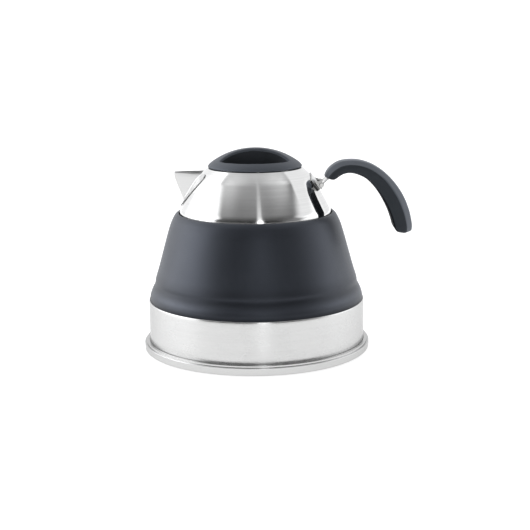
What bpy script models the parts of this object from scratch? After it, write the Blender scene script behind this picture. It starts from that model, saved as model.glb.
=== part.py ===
"""Collapsible camping kettle: steel pan, folding silicone wall, steel dome with
an open V spout, lift-off lid and a hinged handle.

Frame: metres, +Z up, origin at the centre of the underside of the base.
The handle points along +X, the spout along -X.  All dimensions below are in
millimetres and are scaled by MM when the meshes are made.
"""

import math

import bmesh
import bpy
from mathutils import Matrix, Vector

MM = 0.001
SEG = 36                      # facets round the large turned pieces
SEG_SMALL = 20                # facets round pins and screws
GAP = 0.3                     # clearance kept between touching pieces

# ---------------------------------------------------------------- base
BAND_R = 91.96                # outside radius of the pan's wall
BAND_TOP = 43.26              # height of the top edge of the pan
SHEET = 0.8                   # steel sheet thickness
RING_R = 96.5                 # outside radius of the flared foot ring
PAN_FLOOR = 5.3               # underside of the pan's floor
CAP_R = 84.3                  # heat-spreading base, outside radius

# ---------------------------------------------------------------- dome
DOME_SKIRT_R = 67.4           # cylindrical skirt inside the silicone lip
DOME_FOOT = 104.2             # underside of the dome's in-turned foot
CONE_R0, CONE_Z0 = 63.5, 120.8   # a point on the dome's straight flank
CONE_SLOPE = 0.5547           # radius lost per millimetre of height
NECK_R = 36.4                 # inside radius of the lid neck
DOME_TOP = 155.1

# ---------------------------------------------------------------- spout
SPOUT_RIM_Z = 151.4
SPOUT_TIP_X = -68.0
SPOUT_KEEL_Z = 127.6          # where the keel leaves the dome
SPOUT_HALF_WIDTH = 9.6        # half the mouth's width where it meets the dome
HOLE_R = 2.1                  # pour holes through the dome under the spout
POUR_HOLES = ((0.0, 136.6), (-3.0, 141.6), (3.0, 141.6),
              (-5.6, 146.6), (0.0, 146.6), (5.6, 146.6))   # (y, z)

# ---------------------------------------------------------------- handle
HINGE_X, HINGE_Z = 55.45, 140.9
PIN_R, BORE_R = 0.9, 1.2
STRAP_T = 1.2                 # strap thickness
STRAP_HALF = 11.2             # half the strap's width
STRAP_ANGLE = math.radians(44.5)
GRIP_HALF = 14.0              # half the grip's width
GRIP_CROWN = 4.3              # height of the crowned outer face
SLEEVE_T = 1.6                # silicone sleeve thickness
# grip stations: outer point (x, z), inner point (x, z), share of full width
GRIP_STATIONS = (
    (58.3, 147.2, 65.6, 145.0, 1.0),
    (60.6, 152.0, 67.6, 145.7, 1.0),
    (64.7, 156.3, 70.3, 147.7, 1.0),
    (71.2, 159.8, 74.3, 149.9, 1.0),
    (79.2, 161.0, 79.4, 150.7, 1.0),
    (88.2, 160.4, 85.4, 149.5, 1.0),
    (98.0, 157.3, 92.6, 146.0, 1.0),
    (108.2, 150.9, 99.0, 139.8, 1.0),
    (117.7, 141.4, 104.6, 132.0, 1.0),
    (125.2, 130.3, 109.0, 124.6, 1.0),
    (130.1, 118.7, 112.9, 116.6, 1.0),
    (132.5, 108.6, 115.8, 108.4, 1.0),
    (133.0, 103.1, 117.2, 103.4, 0.98),
    (132.1, 100.2, 119.4, 100.5, 0.90),
    (128.6, 98.7, 122.8, 99.1, 0.66),
)

# ---------------------------------------------------------------- lid
LID_R = 39.75
LID_TOP = 171.6
LID_SPHERE = 62.5             # radius of the lid's domed top
LID_RIM = 155.5               # underside of the lid's rim
FIN_Y0, FIN_Z0, FIN_DRAFT = 7.75, 155.3, 0.171   # face of the pinch grip
FIN_FLARE = 0.00036           # how the fin widens towards its ends
# finger scoops: height, radius of the outer arc
SCOOP_LEVELS = ((153.3, 20.5), (155.3, 27.2), (161.8, 33.7), (176.0, 44.0))


# ================================================================ helpers
def material(name, colour, metallic, roughness):
    mat = bpy.data.materials.new(name)
    mat.use_nodes = True
    shader = mat.node_tree.nodes["Principled BSDF"]
    shader.inputs["Base Color"].default_value = (*colour, 1.0)
    shader.inputs["Metallic"].default_value = metallic
    shader.inputs["Roughness"].default_value = roughness
    mat.diffuse_color = (*colour, 1.0)
    return mat


def empty(name, location):
    item = bpy.data.objects.new(name, None)
    item.location = location
    bpy.context.scene.collection.objects.link(item)
    return item


def finish_mesh(bm, name, parent, mat=None, smooth=30.0):
    """Turn a bmesh in world millimetres into an object under its parent."""
    bmesh.ops.remove_doubles(bm, verts=bm.verts, dist=0.0005)
    bmesh.ops.recalc_face_normals(bm, faces=bm.faces)
    bm.transform(Matrix.Scale(MM, 4))
    origin = Vector(parent.location) if parent else Vector()
    bm.transform(Matrix.Translation(-origin))
    mesh = bpy.data.meshes.new(name)
    bm.to_mesh(mesh)
    bm.free()
    mesh.shade_smooth()
    mesh.set_sharp_from_angle(angle=math.radians(smooth))
    if mat:
        mesh.materials.append(mat)
    item = bpy.data.objects.new(name, mesh)
    item.parent = parent
    bpy.context.scene.collection.objects.link(item)
    return item


def turned(name, section, parent, mat=None, segments=SEG, smooth=30.0):
    """Spin a section (radius, height) about Z.

    A section that ends on the axis at both ends makes a solid; any other
    section is closed into a ring.
    """
    bm = bmesh.new()
    verts = [bm.verts.new((r, 0.0, z)) for r, z in section]
    edges = [bm.edges.new(pair) for pair in zip(verts, verts[1:])]
    if section[0][0] > 1e-6 or section[-1][0] > 1e-6:
        edges.append(bm.edges.new((verts[-1], verts[0])))
    bmesh.ops.spin(bm, geom=verts + edges, cent=(0, 0, 0), axis=(0, 0, 1),
                   angle=2 * math.pi, steps=segments, use_duplicate=False)
    bmesh.ops.remove_doubles(bm, verts=bm.verts, dist=0.001)
    return finish_mesh(bm, name, parent, mat, smooth)


def loft(name, rings, parent, mat=None, smooth=35.0, caps=(True, True)):
    """Skin closed rings of equal count; cap the ends with faces."""
    bm = bmesh.new()
    loops = [[bm.verts.new(p) for p in ring] for ring in rings]
    for a, b in zip(loops, loops[1:]):
        for i in range(len(a)):
            j = (i + 1) % len(a)
            bm.faces.new((a[i], a[j], b[j], b[i]))
    if caps[0]:
        bm.faces.new(list(reversed(loops[0])))
    if caps[1]:
        bm.faces.new(loops[-1])
    return finish_mesh(bm, name, parent, mat, smooth)


def plate_xz(name, outline, y0, y1, parent, mat=None):
    """Extrude an outline drawn in the X-Z plane from y0 to y1."""
    bm = bmesh.new()
    face = bm.faces.new([bm.verts.new((x, y0, z)) for x, z in outline])
    grown = bmesh.ops.extrude_face_region(bm, geom=[face])["geom"]
    moved = [v for v in grown if isinstance(v, bmesh.types.BMVert)]
    bmesh.ops.translate(bm, verts=moved, vec=(0, y1 - y0, 0))
    return finish_mesh(bm, name, parent, mat)


def rod(name, start, end, radius, parent, mat=None, segments=SEG_SMALL):
    """A plain round bar between two points."""
    a, b = Vector(start), Vector(end)
    bm = bmesh.new()
    turn = (b - a).to_track_quat("Z", "Y").to_matrix().to_4x4()
    bmesh.ops.create_cone(bm, cap_ends=True, segments=segments,
                          radius1=radius, radius2=radius,
                          depth=(b - a).length,
                          matrix=Matrix.Translation((a + b) / 2) @ turn)
    return finish_mesh(bm, name, parent, mat)


def thick_grid(name, inner, outer, parent, mat=None, smooth=35.0):
    """Close two matching grids of points into one curved plate."""
    bm = bmesh.new()
    rows, cols = len(inner), len(inner[0])
    a = [[bm.verts.new(p) for p in row] for row in inner]
    b = [[bm.verts.new(p) for p in row] for row in outer]
    for i in range(rows - 1):
        for j in range(cols - 1):
            bm.faces.new((a[i][j], a[i][j + 1], a[i + 1][j + 1], a[i + 1][j]))
            bm.faces.new((b[i][j], b[i + 1][j], b[i + 1][j + 1], b[i][j + 1]))
    for i in range(rows - 1):
        for j in (0, cols - 1):
            bm.faces.new((a[i][j], a[i + 1][j], b[i + 1][j], b[i][j]))
    for j in range(cols - 1):
        for i in (0, rows - 1):
            bm.faces.new((a[i][j], a[i][j + 1], b[i][j + 1], b[i][j]))
    return finish_mesh(bm, name, parent, mat, smooth)


def boolean(target, tool, operation):
    """Combine with a helper object that is not part of the model itself."""
    tool.hide_render = True
    tool.display_type = "WIRE"
    mod = target.modifiers.new(operation.lower(), "BOOLEAN")
    mod.operation = operation
    mod.solver = "EXACT"
    mod.object = tool
    return mod


def cone_r(z):
    """Outside radius of the dome's straight flank at a height."""
    return CONE_R0 + (CONE_Z0 - z) * CONE_SLOPE


CONE_N = Vector((1.0, 0.0, CONE_SLOPE)).normalized()   # outward normal at y = 0


def dome_r(z):
    """Outside radius of the dome, with its rounded shoulder below the lid."""
    if z <= 145.0:
        return cone_r(z)
    t = (z - 145.0) / (DOME_TOP - 145.0)
    return cone_r(z) - 4.4 * t ** 1.6


def on_dome(y, z, off):
    """A point near the dome's flank, off millimetres outside its surface.

    The sign of x is positive; the caller mirrors it for the spout side.
    """
    r = dome_r(z) + off * CONE_N.x
    return Vector((math.sqrt(max(r * r - y * y, 0.0)), y, z + off * CONE_N.z))


# ================================================================ clear scene
for old in list(bpy.data.objects):
    bpy.data.objects.remove(old, do_unlink=True)

STEEL_BRUSHED = material("steel_brushed", (0.62, 0.62, 0.61), 1.0, 0.30)
STEEL_POLISHED = material("steel_polished", (0.70, 0.70, 0.69), 1.0, 0.12)
STEEL_PLAIN = material("steel_plain", (0.55, 0.55, 0.54), 1.0, 0.40)
ALUMINIUM = material("aluminium_core", (0.77, 0.77, 0.78), 1.0, 0.45)
SILICONE = material("silicone_slate", (0.064, 0.075, 0.090), 0.0, 0.62)
SILICONE_SEAL = material("silicone_seal", (0.42, 0.42, 0.41), 0.0, 0.55)
NYLON = material("nylon_black", (0.02, 0.02, 0.022), 0.0, 0.50)

BASE = empty("base_frame", (0, 0, 0))
UPPER = empty("upper_frame", (0, 0, 0))
HANDLE = empty("handle_frame", (HINGE_X * MM, 0, HINGE_Z * MM))
LID = empty("lid_frame", (0, 0, LID_RIM * MM))

# ================================================================ base pieces
turned("base_cap",
       [(0, 0), (83.4, 0), (CAP_R, 0.9), (CAP_R, 5.0), (83.5, 5.0),
        (83.5, 0.9), (0, 0.9)], BASE, STEEL_PLAIN)
turned("base_core", [(0, 1.2), (83.2, 1.2), (83.2, 5.0), (0, 5.0)],
       BASE, ALUMINIUM)

pan = [(0, PAN_FLOOR), (87.0, PAN_FLOOR), (89.8, 5.9), (91.5, 6.7),
       (BAND_R, 7.7), (BAND_R, BAND_TOP), (BAND_R - SHEET, BAND_TOP),
       (BAND_R - SHEET, 8.2), (90.8, 7.2), (89.4, 6.7), (87.0, 6.1),
       (0, 6.1)]
turned("base_pan", pan, BASE, STEEL_BRUSHED)

foot = [(92.3, 8.6), (92.9, 8.7), (94.4, 8.65), (95.1, 8.35), (95.15, 7.05),
        (96.1, 6.95), (RING_R, 6.5), (RING_R, 1.8), (95.2, 0.3),
        (93.4, 0.3), (93.4, 1.1), (94.6, 1.3), (95.5, 2.6), (95.4, 5.9),
        (94.3, 6.3), (94.1, 7.6), (92.3, 7.75)]
turned("heat_ring", foot, BASE, STEEL_POLISHED)

turned("lower_clamp_ring",
       [(87.1, 43.0), (87.9, 43.0), (87.9, 32.0), (90.8, 32.0),
        (90.8, 31.2), (87.1, 31.2)], BASE, STEEL_PLAIN)

wall = [(90.8, 32.4), (90.8, 43.7), (90.95, 45.2), (90.3, 48.6),
        (89.0, 51.9), (86.3, 58.0), (84.25, 66.4), (80.2, 80.3),
        (76.15, 94.9), (74.05, 102.1), (69.9, 112.9), (68.1, 115.8),
        (66.0, 117.3), (65.1, 116.9), (66.5, 114.6),
        (67.8, 111.8), (67.8, 103.9), (63.4, 103.9), (63.4, 101.7),
        (71.2, 101.7), (75.4, 86.8), (79.4, 72.1), (83.5, 57.0),
        (86.8, 49.4), (88.2, 44.2), (88.2, 32.4)]
turned("silicone_body", wall, BASE, SILICONE, smooth=50.0)

# ================================================================ upper pieces
shoulder = [DOME_TOP - 8.6, DOME_TOP - 6.2, DOME_TOP - 3.8, DOME_TOP - 1.7]
outer = [(37.6, DOME_TOP), (39.3, DOME_TOP), (40.5, DOME_TOP - 0.4)]
outer += [(dome_r(z), z) for z in reversed(shoulder)]
outer += [(cone_r(z), z) for z in (144.0, 135.0, 126.0, 122.4)]
outer += [(63.7, 120.0), (64.25, 117.8), (64.5, 116.0), (65.6, 114.5),
          (67.0, 112.6), (DOME_SKIRT_R, 111.0), (DOME_SKIRT_R, DOME_FOOT)]
inner = [(63.0, DOME_FOOT), (63.0, DOME_FOOT + SHEET),
         (DOME_SKIRT_R - SHEET, DOME_FOOT + SHEET),
         (DOME_SKIRT_R - SHEET, 110.8), (66.3, 112.1), (64.9, 113.9),
         (63.75, 115.7), (63.45, 117.7), (62.95, 119.7)]
inner += [(cone_r(z) - SHEET * CONE_N.x, z - SHEET * CONE_N.z)
          for z in (122.4, 126.0, 135.0, 144.0)]
inner += [(dome_r(z) - 0.64, z - 0.50) for z in shoulder[:3]]
inner += [(dome_r(shoulder[3]) - 0.50, shoulder[3] - 0.64),
          (40.1, 153.95), (39.1, DOME_TOP - SHEET), (37.6, DOME_TOP - SHEET)]
dome = turned("dome_shell", outer + inner, UPPER, STEEL_BRUSHED)
for n, (y, z) in enumerate(POUR_HOLES):
    p = on_dome(y, z, 0.0)
    p.x = -p.x
    out = Vector((p.x, p.y, 0)).normalized() * CONE_N.x + Vector((0, 0, CONE_N.z))
    boolean(dome, rod(f"pour_cutter_{n}", p - out * 3, p + out * 3, HOLE_R,
                      UPPER, segments=10), "DIFFERENCE")

turned("neck_collar",
       [(NECK_R, 154.0), (38.6, 154.0), (38.6, 153.2), (37.2, 153.2),
        (37.2, 144.5), (NECK_R, 144.5)], UPPER, STEEL_POLISHED)

turned("upper_clamp_ring",
       [(61.9, 106.1), (64.6, 106.1), (64.6, 105.3), (62.7, 105.3),
        (62.7, 101.4), (68.5, 101.4), (68.5, 100.4), (61.9, 100.4)],
       UPPER, STEEL_PLAIN)


def spout_grids():
    """Rows of constant height: flange edge, wall foot, keel, and mirrored."""
    # flange half width against height on the dome
    flange = ((122.9, 1.4), (125.0, 5.2), (127.6, 8.1), (131.0, 11.4),
              (136.0, 15.2), (141.0, 18.6), (145.4, 20.7), (148.6, 20.9),
              (SPOUT_RIM_Z, 18.8))
    under, over = [], []
    for z, half in flange:
        t = max(0.0, (z - SPOUT_KEEL_Z) / (SPOUT_RIM_Z - SPOUT_KEEL_Z))
        foot_y = max(0.55 + SPOUT_HALF_WIDTH * t - 0.55 * t, 0.55)
        if half <= foot_y:
            foot_y = half * 0.5
        keel_dome = -on_dome(0, z, 0.45).x
        keel = keel_dome + (SPOUT_TIP_X - (-on_dome(0, SPOUT_RIM_Z, 0.45).x)) * t
        rows = []
        for off in (0.45, 1.2):
            extra = off - 0.45
            side = []
            for y in (half, (half * 2 + foot_y) / 3, (half + foot_y * 2) / 3):
                p = on_dome(y, z, off)
                side.append((-p.x, y, z))
            foot = on_dome(foot_y, z, 0.45)
            fx = -foot.x
            # the wall runs straight from its foot to the keel
            along = Vector((keel - fx, -foot_y, 0))
            if t > 0.02:
                d = along.normalized()
                normal = Vector((d.y, -d.x, 0)) * (1 if d.x < 0 else -1)
                if normal.y < 0:
                    normal = -normal
            else:
                normal = Vector((-1, 0, 0))
            blendn = normal if t > 0.02 else Vector((-1, 0, 0))
            w0 = Vector((fx, foot_y, z)) + blendn * extra
            mid = Vector((fx, foot_y, z)) + along * 0.5 + blendn * extra
            near = Vector((fx, foot_y, z)) + along * 0.94 + blendn * extra
            tip = Vector((keel - extra * (1.15 if t > 0.02 else 1.0), 0, z))
            side += [tuple(w0), tuple(mid), tuple(near)]
            full = side + [tuple(tip)] + [(x, -y, zz) for x, y, zz in reversed(side)]
            rows.append(full)
        under.append(rows[0])
        over.append(rows[1])
    return under, over


under, over = spout_grids()
thick_grid("spout", under, over, UPPER, STEEL_POLISHED, smooth=30.0)

# saddle plate of the hinge bracket, wrapped round the dome's flank
saddle_rows = ((136.6, 15.4), (138.6, 16.4), (141.5, 17.5), (144.4, 18.0),
               (146.2, 15.0), (147.8, 10.2), (149.3, 4.0))
under, over = [], []
for z, half in saddle_rows:
    ys = [half * (2 * k / 8 - 1) for k in range(9)]
    for rows, off in ((under, 0.38), (over, 1.15)):
        line = []
        for y in ys:
            r = dome_r(z) + off * CONE_N.x
            line.append((math.sqrt(r * r - y * y), y, z + off * CONE_N.z))
        rows.append(line)
bracket = thick_grid("handle_bracket", under, over, UPPER, STEEL_POLISHED)

P = Vector((HINGE_X, 0, HINGE_Z))


def ear_outline(y):
    """Rounded ear that stands on the saddle and surrounds the hinge pin."""
    pts = []
    for z in (136.9, 139.4, 142.2, 144.6):
        q = on_dome(y, z, 0.78)
        pts.append((q.x, q.z))
    arc = [(HINGE_X + 2.3 * math.cos(a), HINGE_Z + 2.3 * math.sin(a))
           for a in (math.radians(d) for d in range(110, -71, -20))]
    return pts + arc


for sign in (-1, 1):
    ys = sorted((sign * 11.5, sign * 12.7))
    ear = plate_xz(f"ear_{'rear' if sign > 0 else 'front'}", ear_outline(12.1),
                   ys[0], ys[1], UPPER)
    boolean(bracket, ear, "UNION")
boolean(bracket, rod("bracket_bore", (HINGE_X, -18, HINGE_Z),
                     (HINGE_X, 18, HINGE_Z), BORE_R, UPPER), "DIFFERENCE")

# headed hinge pin and the cap pressed on its far end
pin_profile = [(0, -13.9), (1.3, -13.9), (1.8, -13.5), (1.8, -13.0),
               (PIN_R, -13.0), (PIN_R, 13.6), (0, 13.6)]
bm = bmesh.new()
vs = [bm.verts.new((r, 0.0, h)) for r, h in pin_profile]
es = [bm.edges.new(pair) for pair in zip(vs, vs[1:])]
bmesh.ops.spin(bm, geom=vs + es, cent=(0, 0, 0), axis=(0, 0, 1),
               angle=2 * math.pi, steps=16, use_duplicate=False)
bmesh.ops.remove_doubles(bm, verts=bm.verts, dist=0.001)
bm.transform(Matrix.Translation(P) @ Matrix.Rotation(math.radians(-90), 4, "X"))
finish_mesh(bm, "hinge_pin", UPPER, STEEL_PLAIN)

cap_profile = [(BORE_R, 13.0), (1.9, 13.0), (1.9, 13.7), (1.5, 14.1),
               (BORE_R, 14.1)]
bm = bmesh.new()
vs = [bm.verts.new((r, 0.0, h)) for r, h in cap_profile]
es = [bm.edges.new(pair) for pair in zip(vs, vs[1:] + vs[:1])]
bmesh.ops.spin(bm, geom=vs + es, cent=(0, 0, 0), axis=(0, 0, 1),
               angle=2 * math.pi, steps=16, use_duplicate=False)
bmesh.ops.remove_doubles(bm, verts=bm.verts, dist=0.001)
bm.transform(Matrix.Translation(P) @ Matrix.Rotation(math.radians(-90), 4, "X"))
finish_mesh(bm, "hinge_pin_cap", UPPER, STEEL_PLAIN)


# ================================================================ handle pieces
def spline(points, count):
    """Smooth curve through the stations, sampled evenly by station number."""
    n = len(points)
    out = []
    for k in range(count):
        u = k / (count - 1) * (n - 1)
        i = min(int(u), n - 2)
        t = u - i
        p0, p1 = points[max(i - 1, 0)], points[i]
        p2, p3 = points[i + 1], points[min(i + 2, n - 1)]
        out.append(tuple(
            0.5 * (2 * b + (c - a) * t + (2 * a - 5 * b + 4 * c - d) * t * t
                   + (3 * b - a - 3 * c + d) * t ** 3)
            for a, b, c, d in zip(p0, p1, p2, p3)))
    return out


SECTIONS = spline(GRIP_STATIONS, 29)


def frame_at(station):
    xo, zo, xi, zi, share = station
    o, i = Vector((xo, 0, zo)), Vector((xi, 0, zi))
    return (o + i) / 2, (o - i).normalized(), (o - i).length, share


def grip_ring(station, inset, low=None, high=None):
    """One crowned section of the grip.

    low and high cut the section to a band of heights across its thickness.
    """
    c, n, thick, share = frame_at(station)
    half = GRIP_HALF * share - inset
    top, bottom = thick / 2 - inset, -thick / 2 + inset
    # the crown is fullest at the front and grows again towards the tail
    front = min(max((80.0 - station[0]) / 14.0, 0.0), 1.0)
    tail = min(max((station[0] - 112.0) / 18.0, 0.0), 1.0)
    crown = min(GRIP_CROWN + 1.2 * front + 1.6 * tail,
                (0.40 + 0.08 * front) * thick)
    crown = max(crown - inset * 0.9, 0.3)
    corner = min(1.7, half * 0.2, (top - bottom) * 0.3)
    side = max(top - crown, bottom + corner + 0.1)
    right = [(half - corner, bottom), (half, bottom + corner), (half, side),
             (half * 0.86, side + (top - side) * 0.51),
             (half * 0.62, side + (top - side) * 0.80),
             (half * 0.32, top - (top - side) * 0.06)]

    def width_at(h):
        for (y0, h0), (y1, h1) in zip(right, right[1:]):
            if h0 <= h <= h1:
                return y0 + (y1 - y0) * (h - h0) / max(h1 - h0, 1e-9)
        return right[0][0] if h < right[0][1] else right[-1][0]

    if low is not None:
        right = [(y, h) if h > low else (width_at(low), low) for y, h in right]
    if high is not None:
        right = [(y, h) if h < high else (width_at(high), high)
                 for y, h in right]
    left = [(-y, h) for y, h in reversed(right)]
    return [tuple(c + n * h + Vector((0, y, 0))) for y, h in right + left]


def strap_h(index):
    """Height of the strap's middle surface in the section's thickness."""
    thick = frame_at(SECTIONS[index])[2]
    ease = min(1.0, index / 5.0)
    return -0.10 * thick * ease


LAST = len(SECTIONS) - 1
# silicone sleeve: outer skin, round the front rim, back along the inside
outer_rings = [grip_ring(s, 0.0) for s in SECTIONS]
inner_rings = [grip_ring(s, SLEEVE_T) for s in SECTIONS[:LAST - 3]]
bm = bmesh.new()
outer_loops = [[bm.verts.new(p) for p in r] for r in outer_rings]
inner_loops = [[bm.verts.new(p) for p in r] for r in inner_rings]
count = len(outer_loops[0])


def skin(loops):
    for a, b in zip(loops, loops[1:]):
        for i in range(count):
            j = (i + 1) % count
            bm.faces.new((a[i], a[j], b[j], b[i]))


skin(outer_loops)
skin(inner_loops)
bm.faces.new(outer_loops[-1])
bm.faces.new(inner_loops[-1])
for i in range(count):
    j = (i + 1) % count
    bm.faces.new((outer_loops[0][i], outer_loops[0][j],
                  inner_loops[0][j], inner_loops[0][i]))
finish_mesh(bm, "grip_sleeve", HANDLE, SILICONE, smooth=50.0)

# two nylon halves that clamp the strap inside the sleeve
CORE_FROM, CORE_TO = 5, LAST - 5
inset = SLEEVE_T + GAP
rings_out, rings_in = [], []
for k in range(CORE_FROM, CORE_TO + 1):
    h = strap_h(k)
    rings_out.append(grip_ring(SECTIONS[k], inset, low=h + STRAP_T / 2 + GAP))
    rings_in.append(grip_ring(SECTIONS[k], inset, high=h - STRAP_T / 2 - GAP))
core_out = loft("grip_core_outer", rings_out, HANDLE, NYLON)
core_in = loft("grip_core_inner", rings_in, HANDLE, NYLON)

# the steel strap: a flat strip from the hinge up into the grip
d = Vector((math.cos(STRAP_ANGLE), 0, math.sin(STRAP_ANGLE)))
h_axis = Vector((-d.z, 0, d.x))
OFFSET = -0.39
path = [(P + d * 3.0 + h_axis * OFFSET, h_axis),
        (P + d * 5.2 + h_axis * OFFSET, h_axis)]
for k in range(1, LAST - 5):
    c, n, thick, share = frame_at(SECTIONS[k])
    path.append((c + n * strap_h(k), n))
strap_rings = []
for c, n in path:
    strap_rings.append([tuple(c + n * (STRAP_T / 2 * s) + Vector((0, y, 0)))
                        for s, y in ((-1, STRAP_HALF), (1, STRAP_HALF),
                                     (1, -STRAP_HALF), (-1, -STRAP_HALF))])
strap = loft("handle_strap", strap_rings, HANDLE, STEEL_POLISHED)

# hooks: loops round the pin with a heel that bears on the saddle at rest
down = Vector((CONE_SLOPE, 0, -1.0)).normalized()
away = Vector((CONE_N.x, 0, CONE_N.z))
BOSS_R = 1.85
outline = []


def at_angle(deg):
    a = math.radians(deg)
    return P + Vector((math.cos(a), 0, math.sin(a))) * BOSS_R


outline.append(P + d * 3.9 + h_axis * (OFFSET - STRAP_T / 2 + 0.02))
for a in (12, -14, -40, -65, -90):
    outline.append(at_angle(a))
outline.append(P + down * 3.3 - away * 0.9)
outline.append(P + down * 3.3 - away * 1.98)
outline.append(P + down * 0.3 - away * 1.95)
for a in (195, 170, 145, 120, 97, 74, 51):
    outline.append(at_angle(a))
outline.append(P + d * 3.9 + h_axis * (OFFSET + STRAP_T / 2 - 0.02))
shape = [(p.x, p.z) for p in outline]
for sign in (-1, 1):
    ys = sorted((sign * 8.8, sign * 11.2))
    hook = plate_xz(f"hook_{'rear' if sign > 0 else 'front'}", shape,
                    ys[0], ys[1], HANDLE)
    boolean(strap, hook, "UNION")
boolean(strap, rod("strap_bore", (HINGE_X, -18, HINGE_Z),
                   (HINGE_X, 18, HINGE_Z), BORE_R, HANDLE), "DIFFERENCE")

# two rivets through the nylon halves and the strap
for name, k in (("grip_rivet_front", 9), ("grip_rivet_rear", 19)):
    between = tuple(0.6 * a + 0.4 * b
                    for a, b in zip(SECTIONS[k], SECTIONS[k + 1]))
    c, n, thick, share = frame_at(between)
    reach = thick / 2 - SLEEVE_T - 0.75
    hole = rod(name + "_hole", c - n * (thick / 2 + 3), c + n * (thick / 2 + 3),
               1.9, HANDLE, segments=12)
    for item in (core_out, core_in, strap):
        boolean(item, hole, "DIFFERENCE")
    rod(name, c - n * reach, c + n * reach, 1.55, HANDLE, STEEL_PLAIN,
        segments=12)


# ================================================================ lid pieces
def lid_z(r, drop=0.0):
    """Height of the domed top at a radius."""
    s = LID_SPHERE - drop
    return LID_TOP - LID_SPHERE + math.sqrt(s * s - r * r)


cover = turned("lid_cover",
               [(0, LID_TOP), (7, lid_z(7)), (14, lid_z(14)), (21, lid_z(21)),
                (27, lid_z(27)), (32, lid_z(32)), (36.2, lid_z(36.2)),
                (38.3, lid_z(38.3)), (39.3, 157.3), (LID_R, 156.4),
                (39.5, 155.8), (38.8, LID_RIM), (32.9, LID_RIM), (32.9, 150.0),
                (0, 150.0)], LID, SILICONE, smooth=40.0)


def lens(r, z, sign):
    """Plan of a finger scoop at a height: an arc closed by the fin's face."""
    def face(x):
        return FIN_Y0 - (z - FIN_Z0) * FIN_DRAFT + FIN_FLARE * abs(x) ** 3
    lo, hi = 0.0, r
    for _ in range(40):
        x = (lo + hi) / 2
        if x * x + face(x) ** 2 < r * r:
            lo = x
        else:
            hi = x
    a0 = math.atan2(face(lo), lo)
    ring = [(r * math.cos(a0 + (math.pi - 2 * a0) * k / 14),
             r * math.sin(a0 + (math.pi - 2 * a0) * k / 14)) for k in range(15)]
    ring += [(lo * (k / 4 - 1), face(lo * (k / 4 - 1))) for k in range(1, 8)]
    return [(x, sign * y, z) for x, y in ring]


def scoop(name, sign):
    """Cutter for one finger scoop, lofted between lens-shaped outlines."""
    return loft(name, [lens(r, z, sign) for z, r in SCOOP_LEVELS], LID)


boolean(cover, scoop("scoop_front", -1), "DIFFERENCE")
boolean(cover, scoop("scoop_rear", 1), "DIFFERENCE")


def fin(name, skin_t, foot_z, half_x, parent, mat=None):
    """Tapered upright inside the pinch grip; skin_t is the silicone over it."""
    def half_t(z):
        return FIN_Y0 - (z - FIN_Z0) * FIN_DRAFT - skin_t
    top = [(half_x * math.cos(math.pi * k / 10), 0) for k in range(11)]
    line = [(half_x, foot_z)]
    line += [(x, lid_z(abs(x), skin_t)) for x, _ in top]
    line += [(-half_x, foot_z)]
    front = [(x, -half_t(z), z) for x, z in line]
    back = [(x, half_t(z), z) for x, z in line]
    return loft(name, [front, back], parent, mat)


# space for the nylon core, then the core itself
boolean(cover, rod("core_space_disc", (0, 0, 148.0), (0, 0, 151.3), 30.7, LID,
                   segments=SEG), "DIFFERENCE")
boolean(cover, fin("core_space_fin", 2.2, 150.9, 26.3, LID), "DIFFERENCE")
core = rod("lid_core", (0, 0, 149.6), (0, 0, 151.0), 30.4, LID, NYLON,
           segments=SEG)
boolean(core, fin("core_fin", 2.5, 150.3, 26.0, LID), "UNION")
boolean(core, rod("core_screw_hole", (0, 0, 147.0), (0, 0, 162.6), 1.9, LID,
                  segments=12), "DIFFERENCE")

plug = turned("lid_plug",
              [(0, 148.5), (33.2, 148.5), (34.0, 149.2), (34.0, 154.4),
               (36.0, 154.4), (36.0, 155.2), (33.2, 155.2), (33.2, 149.3),
               (0, 149.3)], LID, STEEL_POLISHED)
boolean(plug, rod("plug_screw_hole", (0, 0, 146.0), (0, 0, 150.0), 1.9, LID,
                  segments=12), "DIFFERENCE")
turned("lid_gasket",
       [(34.3, 153.9), (35.3, 153.9), (36.1, 152.8), (35.5, 151.2),
        (36.1, 150.1), (35.3, 149.1), (34.3, 149.1)], LID, SILICONE_SEAL)
turned("lid_screw",
       [(0, 162.0), (1.1, 162.0), (1.6, 161.2), (1.6, 148.2), (3.6, 148.2),
        (3.6, 147.5), (2.6, 146.9), (0, 146.9)], LID, STEEL_PLAIN,
       segments=16)
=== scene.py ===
"""Looks of the collapsible kettle: fine meshes and finishes for each piece, a
pale studio and the photograph's camera.  All shapes below are drawn in
millimetres in the model's own frame and scaled by MM.
"""

import math

import bmesh
import bpy
from mathutils import Matrix, Vector


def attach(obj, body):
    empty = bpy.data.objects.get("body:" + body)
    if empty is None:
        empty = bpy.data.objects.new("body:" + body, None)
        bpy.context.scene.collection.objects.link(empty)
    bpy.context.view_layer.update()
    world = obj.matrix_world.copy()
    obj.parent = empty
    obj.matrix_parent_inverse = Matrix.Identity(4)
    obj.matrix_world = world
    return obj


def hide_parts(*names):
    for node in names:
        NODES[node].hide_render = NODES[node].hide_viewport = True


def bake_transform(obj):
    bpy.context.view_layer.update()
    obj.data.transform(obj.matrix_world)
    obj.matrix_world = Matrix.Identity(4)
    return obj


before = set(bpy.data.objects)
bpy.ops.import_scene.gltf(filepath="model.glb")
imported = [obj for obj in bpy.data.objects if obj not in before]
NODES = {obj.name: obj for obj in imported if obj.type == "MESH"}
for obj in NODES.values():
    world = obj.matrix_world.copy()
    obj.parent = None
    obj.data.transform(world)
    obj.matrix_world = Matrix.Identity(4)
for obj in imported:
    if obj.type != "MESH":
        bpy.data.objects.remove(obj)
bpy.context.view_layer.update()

MM = 0.001
SEG = 256                      # steps round the large turned pieces
SCENE = bpy.context.scene


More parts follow.
